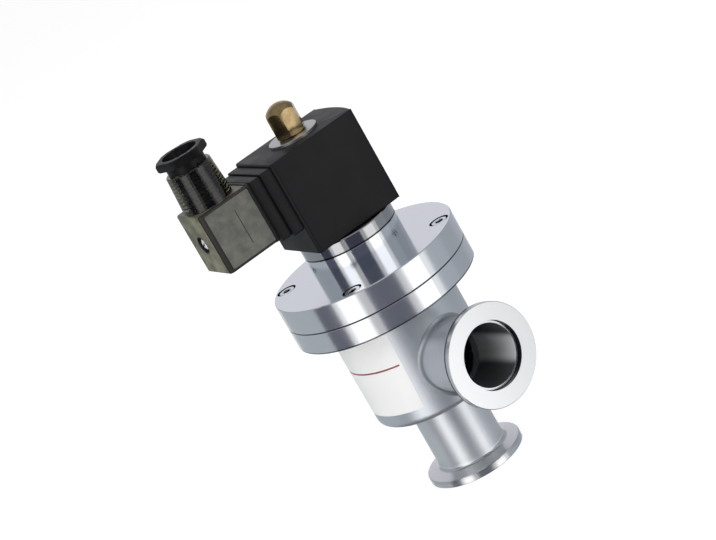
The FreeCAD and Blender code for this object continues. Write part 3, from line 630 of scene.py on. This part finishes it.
coil = block("coil_moulding", -COIL_HALF, COIL_HALF, COIL_NEAR, COIL_CROWN + 1, COIL_LOW, COIL_HIGH)
bow = rod("bow", BOW_R, COIL_LOW - 1, COIL_HIGH + 1, steps=288)
move(bow, y=COIL_CROWN - BOW_R)
combine(coil, bow, "INTERSECT")
round_edges(coil, NEAR_CORNER_R, 6, upright(COIL_HALF, COIL_NEAR))
round_edges(coil, FAR_CORNER_R, 10, upright(COIL_HALF, COIL_FAR))
for z in (COIL_LOW, COIL_HIGH):
    round_edges(coil, TOP_EDGE_R, 4, lambda a, b: abs(a.z - z) < 0.01 and abs(b.z - z) < 0.01)
for y0, y1, half_w, half_h in NECK_STEPS:
    foot = block("neck_foot", NECK_GROOVE - half_w, half_w - NECK_GROOVE, y0 - 1, y0 + 2,
                 NECK_Z - half_h + NECK_GROOVE, NECK_Z + half_h - NECK_GROOVE)
    band = block("neck_band", -half_w, half_w, y1, y0 - NECK_GROOVE, NECK_Z - half_h, NECK_Z + half_h)
    round_edges(foot, NECK_EDGE_R, 4, lengthwise)
    round_edges(band, NECK_EDGE_R, 5, lengthwise)
    soften(band, 0.15)
    combine(coil, foot, "UNION")
    combine(coil, band, "UNION")
combine(coil, rod("tube_hole", TUBE_HOLE_R, COIL_LOW - 10, COIL_HIGH + 10))
combine(coil, rod("bobbin_room", BOBBIN_R, BOBBIN_LOW, BOBBIN_HIGH))
for near, low, high in ((YOKE_NEAR, YOKE_LOW, YOKE_LOW + YOKE_T),
                        (YOKE_NEAR, BOBBIN_HIGH, BOBBIN_HIGH + YOKE_T),
                        (YOKE_FAR - YOKE_T, YOKE_LOW, BOBBIN_HIGH + YOKE_T)):
    combine(coil, block("yoke_room", -YOKE_HALF, YOKE_HALF, near, YOKE_FAR, low, high))
for x, z, half_w, half_h in ((-BLADE_X, NECK_Z, BLADE_HALF_T, BLADE_HALF_W),
                             (BLADE_X, NECK_Z, BLADE_HALF_T, BLADE_HALF_W),
                             (0, EARTH_Z, BLADE_HALF_W, BLADE_HALF_T)):
    combine(coil, block("blade_slot", x - half_w, x + half_w, NECK_END, BLADE_Y, z - half_h, z + half_h))
combine(coil, pin("screw_hole", SCREW_HOLE_R, -30, SCREW_HOLE_Y))
soften(coil, 0)
move(coil, turn=COIL_TURN)

coil_resin = moulded("glass_filled_moulding", "#161618", 0.4, 0.5, 0.7, 0.012, gloss=0.14)
# Satin black with a fine spark-eroded skin, drawn 0.7 mm wide so that it shows.
coil.data.materials.append(coil_resin)
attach(coil, "coil")
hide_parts("coil_housing")


# Inside of the coil
# Enamelled copper wire on a nylon bobbin, in a bent yoke of zinc-coated steel. Tinned blades bring the
# current in through the neck.
wire, tree, place = new_material("enamelled_copper_wire")
# Turns of wire lie side by side, as even ridges of warm copper, drawn about 3 mm apart.
turns = add(tree, "TexWave", {"Scale": 1 / (20 * 0.5 * mm), "Distortion": 0.4, "Vector": place},
            bands_direction="Z", wave_profile="SIN").outputs["Fac"]
bump = add(tree, "Bump", {"Strength": 0.8, "Distance": 0.1 * mm, "Height": turns})
# Painted shade: the grooves between turns are darker copper and the crests paler
colour = add(tree, "Mix", [turns, linear("#8a4a2b"), linear("#c0744a")], data_type="RGBA")
show(tree, "BsdfPrincipled", {"Metallic": 0.8, "Roughness": 0.25, "Coat Weight": 0.5, "Base Color": colour,
                              "Normal": bump})
finish(wire, "coil_winding")
black_nylon = moulded("black_nylon", "#0e0e0f", 0.34, 0.46, 0.5, 0.008, gloss=0.16)
finish(black_nylon, "coil_bobbin")


def plated_strip(name, shade, low, high):
    """Rolled strip with a thin plating: a long soft grain along the connector."""
    made, tree, place = new_material(name)
    drawn_out = add(tree, "Mapping", {"Scale": (1, 0.1, 1), "Vector": place})
    rolling = add(tree, "TexNoise", {"Scale": 1 / (0.4 * mm), "Detail": 3.0, "Vector": drawn_out})
    rough = add(tree, "MapRange", [rolling, 0.3, 0.7, low, high])
    bump = add(tree, "Bump", {"Strength": 0.3, "Distance": 0.01 * mm, "Height": rolling})
    show(tree, "BsdfPrincipled", {"Metallic": 1.0, "Base Color": linear(shade), "Roughness": rough,
                                  "Normal": bump})
    return made


finish(plated_strip("zinc_coated_yoke_steel", "#b3b5b6", 0.3, 0.45), "coil_yoke")
finish(plated_strip("tinned_brass", "#d3d2cc", 0.18, 0.32), "terminal_blades")


# Washer under the cap nut
# A thin round washer, pressed from sheet steel and zinc plated, so it is pale grey with a rolled edge.
# It lies loose between the coil and the cap nut.
finish(turned_metal("zinc_plated_washer", "#b0b0ae", 0.26, 0.4), "nut_washer")


# Cap nut
# A cap nut turned from hexagon bar of brass, with a ball-shaped top. It screws down on the stud and holds
# the coil. Turning the ball leaves an arch at the top of each flat.
NUT_LOW, NUT_TOP, NUT_ACROSS, NUT_BALL_R, NUT_FACE_R = 149.65, 162.9, 11.0, 7.0, 5.2
STUD_HOLE_R, STUD_HOLE_TOP = 3.05, 161.4
NUT_TURN = -28.55

corner = NUT_ACROSS / math.sqrt(3)
chamfer = (corner + 0.25 - NUT_FACE_R) * math.tan(math.radians(30))
cap_nut = rod("brass_cap_nut", corner, NUT_LOW, NUT_TOP, steps=6)
profile = [(0, NUT_LOW), (NUT_FACE_R, NUT_LOW), (corner + 0.25, NUT_LOW + chamfer)]
for degrees in range(20, 91, 2):
    a = math.radians(degrees)
    profile.append((NUT_BALL_R * math.cos(a) if degrees < 90 else 0,
                    NUT_TOP - NUT_BALL_R + NUT_BALL_R * math.sin(a)))
combine(cap_nut, turned("ball_topped_blank", profile, steps=180), "INTERSECT")
combine(cap_nut, rod("stud_hole", STUD_HOLE_R, NUT_LOW - 1, STUD_HOLE_TOP))
soften(cap_nut, 0.08, angle=22)
move(cap_nut, turn=NUT_TURN + COIL_TURN)

brass, tree, place = new_material("bright_turned_brass")
# Free-cutting brass, bright from the tool: golden with browner clouds where fingers have dulled it.
marks = turning_marks(tree, place)
clouds = add(tree, "TexNoise", {"Scale": 1 / (4 * mm), "Detail": 3.0, "Vector": place})
tarnish = add(tree, "MapRange", [clouds, 0.4, 0.65])
colour = add(tree, "Mix", [tarnish, linear("#a5906b"), linear("#8a7653")], data_type="RGBA")
rough = add(tree, "MapRange", [marks, 0, 1, 0.15, 0.26])
bump = add(tree, "Bump", {"Strength": 0.15, "Distance": 0.02 * mm, "Height": marks})
show(tree, "BsdfPrincipled", {"Metallic": 1.0, "Base Color": colour, "Roughness": rough, "Normal": bump})
cap_nut.data.materials.append(brass)
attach(cap_nut, "cap_nut")
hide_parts("cap_nut")


# Connector gasket
# A flat sheet of nitrile rubber, die cut. The connector's screw clamps it between the coil's neck and
# the connector.
finish(moulded("nitrile_rubber", "#141414", 0.55, 0.7, 0.4, 0.02), "connector_gasket")


# Connector housing
# One shell of smoky polycarbonate, moulded clear enough to show what is inside. The cable gland screws
# into its round socket, and the screw sits in a boss behind a recess in the end wall.
SHELL_HALF_W, SHELL_HALF_H = 11.0, 12.2
SHELL_NEAR, SHELL_END, SHELL_WALL = -30.55, -52.45, 1.6
SOCKET_Y, SOCKET_LOW_R, SOCKET_HIGH_R, SOCKET_TOP = -42.25, 10.05, 9.15, 161.95
SOCKET_BORE_R, SOCKET_LEDGE_Z, SOCKET_ENTRY_R = 7.75, 145.8, 5.5
SHELL_LOW, SHELL_TOP = NECK_Z - SHELL_HALF_H, NECK_Z + SHELL_HALF_H
BOSS_R, BOSS_DEPTH, SUNK_R, SUNK_DEPTH, WAY_R = 4.5, 5.0, 3.3, 3.2, 1.6
SOCKET_THREAD, GLAND_PITCH = 0.2, 1.41
SHELL_CORNER_R, SHELL_EDGE_R, INNER_EDGE_R = 1.8, 0.5, 1.0

shell = block("connector_shell", -SHELL_HALF_W, SHELL_HALF_W, SHELL_END, SHELL_NEAR, SHELL_LOW, SHELL_TOP)
round_edges(shell, SHELL_CORNER_R, 6, upright(SHELL_HALF_W, SHELL_END))
for z in (SHELL_LOW, SHELL_TOP):
    round_edges(shell, SHELL_EDGE_R, 3, lambda a, b: abs(a.z - z) < 0.01 and abs(b.z - z) < 0.01
                and min(a.y, b.y) < SHELL_NEAR - 0.5)
socket = turned("socket", [(0, SHELL_TOP - 1), (SOCKET_LOW_R, SHELL_TOP - 1), (SOCKET_LOW_R, SHELL_TOP),
                           (SOCKET_HIGH_R, SOCKET_TOP - 0.35), (SOCKET_HIGH_R - 0.35, SOCKET_TOP),
                           (0, SOCKET_TOP)])
move(socket, y=SOCKET_Y)
combine(shell, socket, "UNION")
inside = block("inside", SHELL_WALL - SHELL_HALF_W, SHELL_HALF_W - SHELL_WALL, SHELL_END + SHELL_WALL,
               SHELL_NEAR + 1, SHELL_LOW + SHELL_WALL, SHELL_TOP - SHELL_WALL)
round_edges(inside, INNER_EDGE_R, 4, lengthwise)
combine(shell, inside)
way = turned("gland_way", [(0, 140), (SOCKET_ENTRY_R, 140), (SOCKET_ENTRY_R, SOCKET_LEDGE_Z),
                           (SOCKET_BORE_R, SOCKET_LEDGE_Z), (SOCKET_BORE_R, SOCKET_TOP + 1),
                           (0, SOCKET_TOP + 1)], steps=72)
combine(way, threaded_bar("socket_thread", SOCKET_BORE_R + SOCKET_THREAD, SOCKET_BORE_R - SOCKET_THREAD,
                          GLAND_PITCH, SOCKET_LEDGE_Z + 0.5, 10, steps=72), "UNION")
move(way, y=SOCKET_Y)
combine(shell, way)
combine(shell, pin("screw_boss", BOSS_R, SHELL_END + BOSS_DEPTH, SHELL_END + 1.5), "UNION")
combine(shell, pin("screw_recess", SUNK_R, SHELL_END + SUNK_DEPTH, SHELL_END - 1))
combine(shell, pin("screw_way", WAY_R, SHELL_END + BOSS_DEPTH + 1, SHELL_END))
soften(shell, 0)
move(shell, turn=COIL_TURN)

smoky, tree, place = new_material("smoky_polycarbonate")
# Dark olive brown and clear, so what is inside shows. The moulded skin is glossy with faint flow lines.
# The end wall is frosted and paler. The side walls, their corners and the screw's recess are painted nearly
# black brown and nearly opaque: painted shade.
square = add(tree, "Mapping", {"Rotation": (0, 0, math.radians(COIL_TURN)), "Vector": place},
             vector_type="TEXTURE")
parts = add(tree, "SeparateXYZ", [square]).outputs
on_end = add(tree, "Math", [parts["Y"], (SHELL_END + 0.2) * mm], operation="LESS_THAN")
across = add(tree, "Math", [parts["X"], 0.0, (SHELL_HALF_W - SHELL_WALL) * mm], operation="COMPARE")
at_side = add(tree, "Math", [1.0, across], operation="SUBTRACT")
below = add(tree, "Math", [parts["Z"], (SHELL_TOP + 0.1) * mm], operation="LESS_THAN")
# Painted shade: the side walls and corners are made nearly black brown and nearly opaque
painted_dark_sides = add(tree, "Math", [at_side, below], operation="MULTIPLY")
flat = add(tree, "CombineXYZ", [parts["X"], 0, parts["Z"]])
from_screw = add(tree, "VectorMath", [flat, (0, 0, NECK_Z * mm)], operation="DISTANCE")
on_top = add(tree, "Math", [parts["Z"], SHELL_TOP * mm, 0.2 * mm], operation="COMPARE")
frosted = add(tree, "Math", [on_end, on_top], operation="MAXIMUM")
# Painted shade: the screw's recess is darkened
shaded_recess = add(tree, "Math", [from_screw, (SUNK_R + 0.4) * mm], operation="LESS_THAN")
painted_dark = add(tree, "Math", [painted_dark_sides, shaded_recess], operation="MAXIMUM")
flow = add(tree, "TexNoise", {"Scale": 1 / (5 * mm), "Vector": place})
smooth = add(tree, "MapRange", [flow, 0.3, 0.7, 0.05, 0.1])
cloudy = add(tree, "MapRange", [flow, 0.35, 0.65])
skin = add(tree, "Mix", [frosted, smooth, 0.42])
rough = add(tree, "Mix", [painted_dark, skin, 0.6])
end_wall = add(tree, "Mix", [cloudy, linear("#5a593f"), linear("#8e8d70")], data_type="RGBA")
pale = add(tree, "Mix", [on_end, linear("#625f4a"), end_wall], data_type="RGBA")
colour = add(tree, "Mix", [painted_dark, pale, linear("#17110c")], data_type="RGBA")
even = add(tree, "Mix", [frosted, 1.0, 0.25])
clear = add(tree, "Mix", [painted_dark, even, 0.1])
bump = add(tree, "Bump", {"Strength": 0.1, "Distance": 0.03 * mm, "Height": flow})
show(tree, "BsdfPrincipled", {"IOR": 1.5, "Base Color": colour, "Roughness": rough, "Normal": bump,
                              "Transmission Weight": clear})
shell.data.materials.append(smoky)
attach(shell, "connector")
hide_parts("connector_housing")


# Connector label
# A polyester film stuck on the side of the shell, printed grey all over, and bare but for one thin
# dark line.
FILM_FROM, FILM_TO, FILM_LOW, FILM_HIGH = -50.6, -30.75, 123.1, 145.45
LINE_Y, LINE_W, LINE_LENGTH = -39.0, 0.4, 14.0

label = block("connector_label", SHELL_HALF_W + 0.01, SHELL_HALF_W + 0.07, FILM_FROM, FILM_TO, FILM_LOW,
              FILM_HIGH)
round_edges(label, 0.6, 4, lambda a, b: abs(a.y - b.y) + abs(a.z - b.z) < 0.01)
soften(label, 0)
move(label, turn=COIL_TURN)

grey_film, tree, place = new_material("grey_polyester_film")
# Matt warm grey, a little uneven, with the line's ink flat in it.
square = add(tree, "Mapping", {"Rotation": (0, 0, math.radians(COIL_TURN)), "Vector": place},
             vector_type="TEXTURE")
parts = add(tree, "SeparateXYZ", [square]).outputs
line_y = add(tree, "Math", [parts["Y"], LINE_Y * mm, LINE_W / 2 * mm], operation="COMPARE")
line_z = add(tree, "Math", [parts["Z"], NECK_Z * mm, LINE_LENGTH / 2 * mm], operation="COMPARE")
on_line = add(tree, "Math", [line_y, line_z], operation="MULTIPLY")
clouds = add(tree, "TexNoise", {"Scale": 1 / (4 * mm), "Detail": 3.0, "Vector": place})
worn = add(tree, "MapRange", [clouds, 0.35, 0.65])
ground = add(tree, "Mix", [worn, linear("#4b4d47"), linear("#63625a")], data_type="RGBA")
colour = add(tree, "Mix", [on_line, ground, linear("#1f1f1d")], data_type="RGBA")
rough = add(tree, "MapRange", [clouds, 0, 1, 0.4, 0.5])
show(tree, "BsdfPrincipled", {"IOR": 1.5, "Base Color": colour, "Roughness": rough})
label.data.materials.append(grey_film)
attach(label, "connector")


# Terminal block
# A nylon insert that holds the contacts behind zinc-plated clamping screws. The small board on it
# carries an indicator lamp.
finish(black_nylon, "terminal_block")
finish(plated_strip("zinc_plated_terminal_screws", "#c3c6c9", 0.22, 0.38), "terminal_screws")
finish(moulded("lamp_plastic", "#9c4a3c", 0.15, 0.3, 0.5, 0.005), "indicator_lamp")


# Connector screw
# A slotted steel screw, zinc plated, sunk in the end wall. It passes through the connector into the
# coil's neck.
SCREW_SEAT, SLOTTED_HEAD_H, SLOTTED_HEAD_R = -49.25, 2.95, 2.8
SLOT_FLOOR, SLOT_HALF_W, SLOT_TURN = 1.9, 0.5, 28
THREAD_R, THREAD_ROOT_R, THREAD_PITCH, THREAD_LENGTH = 1.5, 1.2, 0.5, 24.75

slotted = turned("slotted_screw", [(0, 0), (SLOTTED_HEAD_R, 0), (SLOTTED_HEAD_R, 1.5), (2.65, 1.95),
                                   (2.3, 2.4), (1.75, 2.7), (1.1, 2.88), (0.4, SLOTTED_HEAD_H),
                                   (0, SLOTTED_HEAD_H)], steps=64)
combine(slotted, block("driver_slot", -4, 4, -SLOT_HALF_W, SLOT_HALF_W, SLOT_FLOOR, 4))
soften(slotted, 0.08)
join(slotted, threaded_bar("slotted_shank", THREAD_R, THREAD_ROOT_R, THREAD_PITCH, -THREAD_LENGTH,
                           math.ceil(THREAD_LENGTH / THREAD_PITCH), steps=16))
move(slotted, turn=SLOT_TURN)
activate(slotted)
slotted.rotation_euler = (math.radians(90), 0, 0)
slotted.location = (0, SCREW_SEAT * mm, NECK_Z * mm)
bpy.ops.object.transform_apply()
move(slotted, turn=COIL_TURN)

dull_zinc, tree, place = new_material("dull_zinc_plating")
# Barrel-plated zinc, pale grey and cloudy. It scatters most of its light, so it shows in its dark hole.
clouds = add(tree, "TexNoise", {"Scale": 1 / (1.2 * mm), "Detail": 3.0, "Vector": place})
rough = add(tree, "MapRange", [clouds, 0.3, 0.7, 0.2, 0.36])
colour = add(tree, "Mix", [clouds, linear("#f0f1f2"), linear("#dadcde")], data_type="RGBA")
show(tree, "BsdfPrincipled", {"Metallic": 0.4, "Base Color": colour, "Roughness": rough})
slotted.data.materials.append(dull_zinc)
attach(slotted, "connector_screw")
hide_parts("connector_screw")


# Cable gland
# A ribbed rubber sleeve and a washer, pressed down by a hollow hexagon nut of black nylon that screws
# into the socket.
GLAND_ACROSS, GLAND_HEX_LOW, GLAND_TOP, GLAND_TURN = 18.0, 165.15, 168.45, 15.0
GLAND_FOOT, GLAND_THREAD_R, GLAND_NECK_LOW, GLAND_CHAMFER = 153.25, 7.7, 161.2, 0.9
GLAND_MOUTH_R, GLAND_RECESS_R, GLAND_RECESS_FLOOR, GLAND_BORE_R = 7.1, 6.0, 161.15, 4.2
SEAL_TOP, SEAL_R, SEAL_BORE_R = 152.15, 7.55, 3.5

corner = GLAND_ACROSS / math.sqrt(3)
gland = rod("gland_hexagon_nut", corner, GLAND_HEX_LOW, GLAND_TOP, steps=6)
combine(gland, turned("gland_blank", [(0, GLAND_HEX_LOW), (corner - GLAND_CHAMFER / 2, GLAND_HEX_LOW),
                                      (corner, GLAND_HEX_LOW + GLAND_CHAMFER / 2),
                                      (corner, GLAND_TOP - GLAND_CHAMFER),
                                      (corner - GLAND_CHAMFER, GLAND_TOP), (0, GLAND_TOP)], steps=120),
        "INTERSECT")
move(gland, turn=GLAND_TURN)
combine(gland, turned("gland_neck", [(0, GLAND_NECK_LOW), (GLAND_THREAD_R - 0.5, GLAND_NECK_LOW),
                                     (GLAND_THREAD_R, GLAND_NECK_LOW + 0.5),
                                     (GLAND_THREAD_R, GLAND_HEX_LOW + 0.5), (0, GLAND_HEX_LOW + 0.5)]),
        "UNION")
combine(gland, threaded_bar("gland_thread", GLAND_THREAD_R, GLAND_THREAD_R - 0.7, GLAND_PITCH, GLAND_FOOT, 6,
                            steps=72), "UNION")
combine(gland, turned("gland_mouth", [(0, GLAND_RECESS_FLOOR), (GLAND_RECESS_R, GLAND_RECESS_FLOOR),
                                      (GLAND_MOUTH_R, GLAND_TOP), (GLAND_MOUTH_R, GLAND_TOP + 1),
                                      (0, GLAND_TOP + 1)]))
combine(gland, rod("gland_bore", GLAND_BORE_R, GLAND_FOOT - 3, GLAND_HEX_LOW))
soften(gland, 0.12)
move(gland, y=SOCKET_Y)
move(gland, turn=COIL_TURN)
gland.data.materials.append(black_nylon)
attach(gland, "gland_nut")
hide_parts("gland_nut")

ribs = [(SEAL_BORE_R, SOCKET_LEDGE_Z)]
while ribs[-1][1] < SEAL_TOP - 0.9:
    z = ribs[-1][1]
    ribs += [(SEAL_R - 0.6, z), (SEAL_R, z + 0.5), (SEAL_R, z + 0.9), (SEAL_R - 0.6, z + 1.4)]
sleeve = turned("gland_sleeve", [r for r in ribs if r[1] < SEAL_TOP] + [(SEAL_R - 0.6, SEAL_TOP),
                                                                        (SEAL_BORE_R, SEAL_TOP), ribs[0]])
soften(sleeve, 0)
move(sleeve, y=SOCKET_Y)
move(sleeve, turn=COIL_TURN)
gland_rubber = moulded("gland_rubber", "#121212", 0.3, 0.4, 0.4, 0.01)
# Moulded nitrile rubber, black and slightly shiny where it is pressed on the socket.
sleeve.data.materials.append(gland_rubber)
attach(sleeve, "connector")
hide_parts("gland_seal")
finish(moulded("gland_washer_nylon", "#8b8a86", 0.3, 0.4, 0.5, 0.01), "gland_washer")


# Studio
# A plain pale floor and a white surround, lit by soft boxes either side of the camera, above and low down.
# Cards that only gloss sees stand round the valve, as flags and reflectors do in a studio. Gloss looks
# through the floor, so the cards go on below it.
CAMERA_PLACE = (766.443 * mm, -415.764 * mm, 356.565 * mm)
CARD_R, CARD_LOW_END, CARD_TOP = 600, -500, 600
# From and to in degrees, grey of the card and its strength
CARDS = (
    (-180, -113, "#b4bcc1", 1.0),
    (-112, -86, "#555968", 1.0),
    (-84, -79, "#ffffff", 0.95),
    (-79, -56, "#ffffff", 1.7),
    (-56, -47, "#ffffff", 0.6),
    (-45, -6, "#555968", 1.0),
    (-5, 3, "#ffffff", 0.75),
    (3, 27, "#ffffff", 1.7),
    (27, 37, "#ffffff", 1.1),
    (37, 66, "#b4bbc2", 1.0),
    (66, 102, "#a8aeb5", 1.0),
    (102, 130, "#b2b8be", 1.0),
    (130, 180, "#e7e7ee", 1.0),
)
# Place in mm, size in mm and power in watts; all of them point at the axis, AIM_Z above the floor
AIM_Z = 90
SOFT_BOXES = (
    ((340, -930, 1050), 700, 4.0),
    ((1100, 250, 800), 700, 3.5),
    ((-150, 200, 1300), 800, 3.0),
    ((395, -809, 120), 500, 2.8),
)

floor = primitive("floor", bpy.ops.mesh.primitive_plane_add, size=6)
painted_floor, tree, place = new_material("painted_floor")
# Matt white paint. What the camera sees of it is half its own white, so that only the shadow shows.
light = add(tree, "LightPath")
half = add(tree, "Math", [light.outputs["Is Camera Ray"], 0.5], operation="MULTIPLY")
roller = add(tree, "TexNoise", {"Scale": 1 / (2 * mm), "Vector": place})
bump = add(tree, "Bump", {"Strength": 0.05, "Distance": 0.1 * mm, "Height": roller})
paint = add(tree, "BsdfPrincipled", {"Base Color": linear("#f2f2f2"), "Roughness": 0.9,
                                     "Specular IOR Level": 0.1, "Normal": bump})
own = add(tree, "Emission", {"Color": linear("#ffffff"), "Strength": 1.5})
show(tree, "MixShader", [half, paint, own])
floor.data.materials.append(painted_floor)
floor.visible_glossy = False


def lit_card(sheet, shade, strength):
    """Makes a sheet a card of evenly lit paper that only gloss sees."""
    made, tree, _ = new_material(sheet.name)
    show(tree, "Emission", {"Color": linear(shade), "Strength": strength})
    sheet.data.materials.append(made)
    sheet.visible_camera = sheet.visible_diffuse = sheet.visible_transmission = sheet.visible_shadow = False


for i, (start, end, shade, strength) in enumerate(CARDS):
    lit_card(upright_sheet(f"card_{i}", CARD_R, CARD_LOW_END, CARD_TOP, start, end, steps=24), shade,
             strength)

# Dark below and a paler card above: they draw the undersides and the tops.
for name, height, shade in (("dark_ground", CARD_LOW_END, "#55585e"), ("grey_ceiling", CARD_TOP, "#b4b5b8")):
    sheet = primitive(name, bpy.ops.mesh.primitive_circle_add, vertices=48, radius=CARD_R * mm,
                      fill_type="NGON", location=(0, 0, height * mm))
    lit_card(sheet, shade, 1.0)

for i, (place, size, power) in enumerate(SOFT_BOXES):
    bpy.ops.object.light_add(type="AREA", location=[c * mm for c in place])
    lamp = bpy.context.object
    lamp.name = f"soft_box_{i}"
    lamp.data.size, lamp.data.energy = size * mm, power
    away = lamp.location.copy()
    away.z -= AIM_Z * mm
    lamp.rotation_euler = away.to_track_quat("Z", "Y").to_euler()

world = bpy.data.worlds.new("studio")
world.use_nodes = True
tree = world.node_tree
tree.nodes.clear()
light = add(tree, "LightPath")
seen = add(tree, "Math", [light.outputs["Is Camera Ray"], light.outputs["Is Glossy Ray"]],
           operation="MAXIMUM")
seen = add(tree, "Math", [seen, light.outputs["Is Transmission Ray"]], operation="MAXIMUM")
strength = add(tree, "MapRange", [seen, 0, 1, 0.44, 1.0])
sky = add(tree, "Background", {"Color": linear("#ffffff"), "Strength": strength})
add(tree, "OutputWorld", {"Surface": sky})
bpy.context.scene.world = world

# Place, turn and lens as fitted to the photograph
bpy.ops.object.camera_add(location=CAMERA_PLACE)
camera = bpy.context.object
camera.name = "camera"
camera.rotation_mode = "QUATERNION"
camera.rotation_quaternion = (0.77236780, 0.41531627, 0.42625409, 0.22196368)
camera.data.sensor_width = 36
camera.data.lens = 120.713
camera.data.clip_start = 0.01
bpy.context.scene.camera = camera
bpy.context.scene.view_settings.view_transform = "Standard"
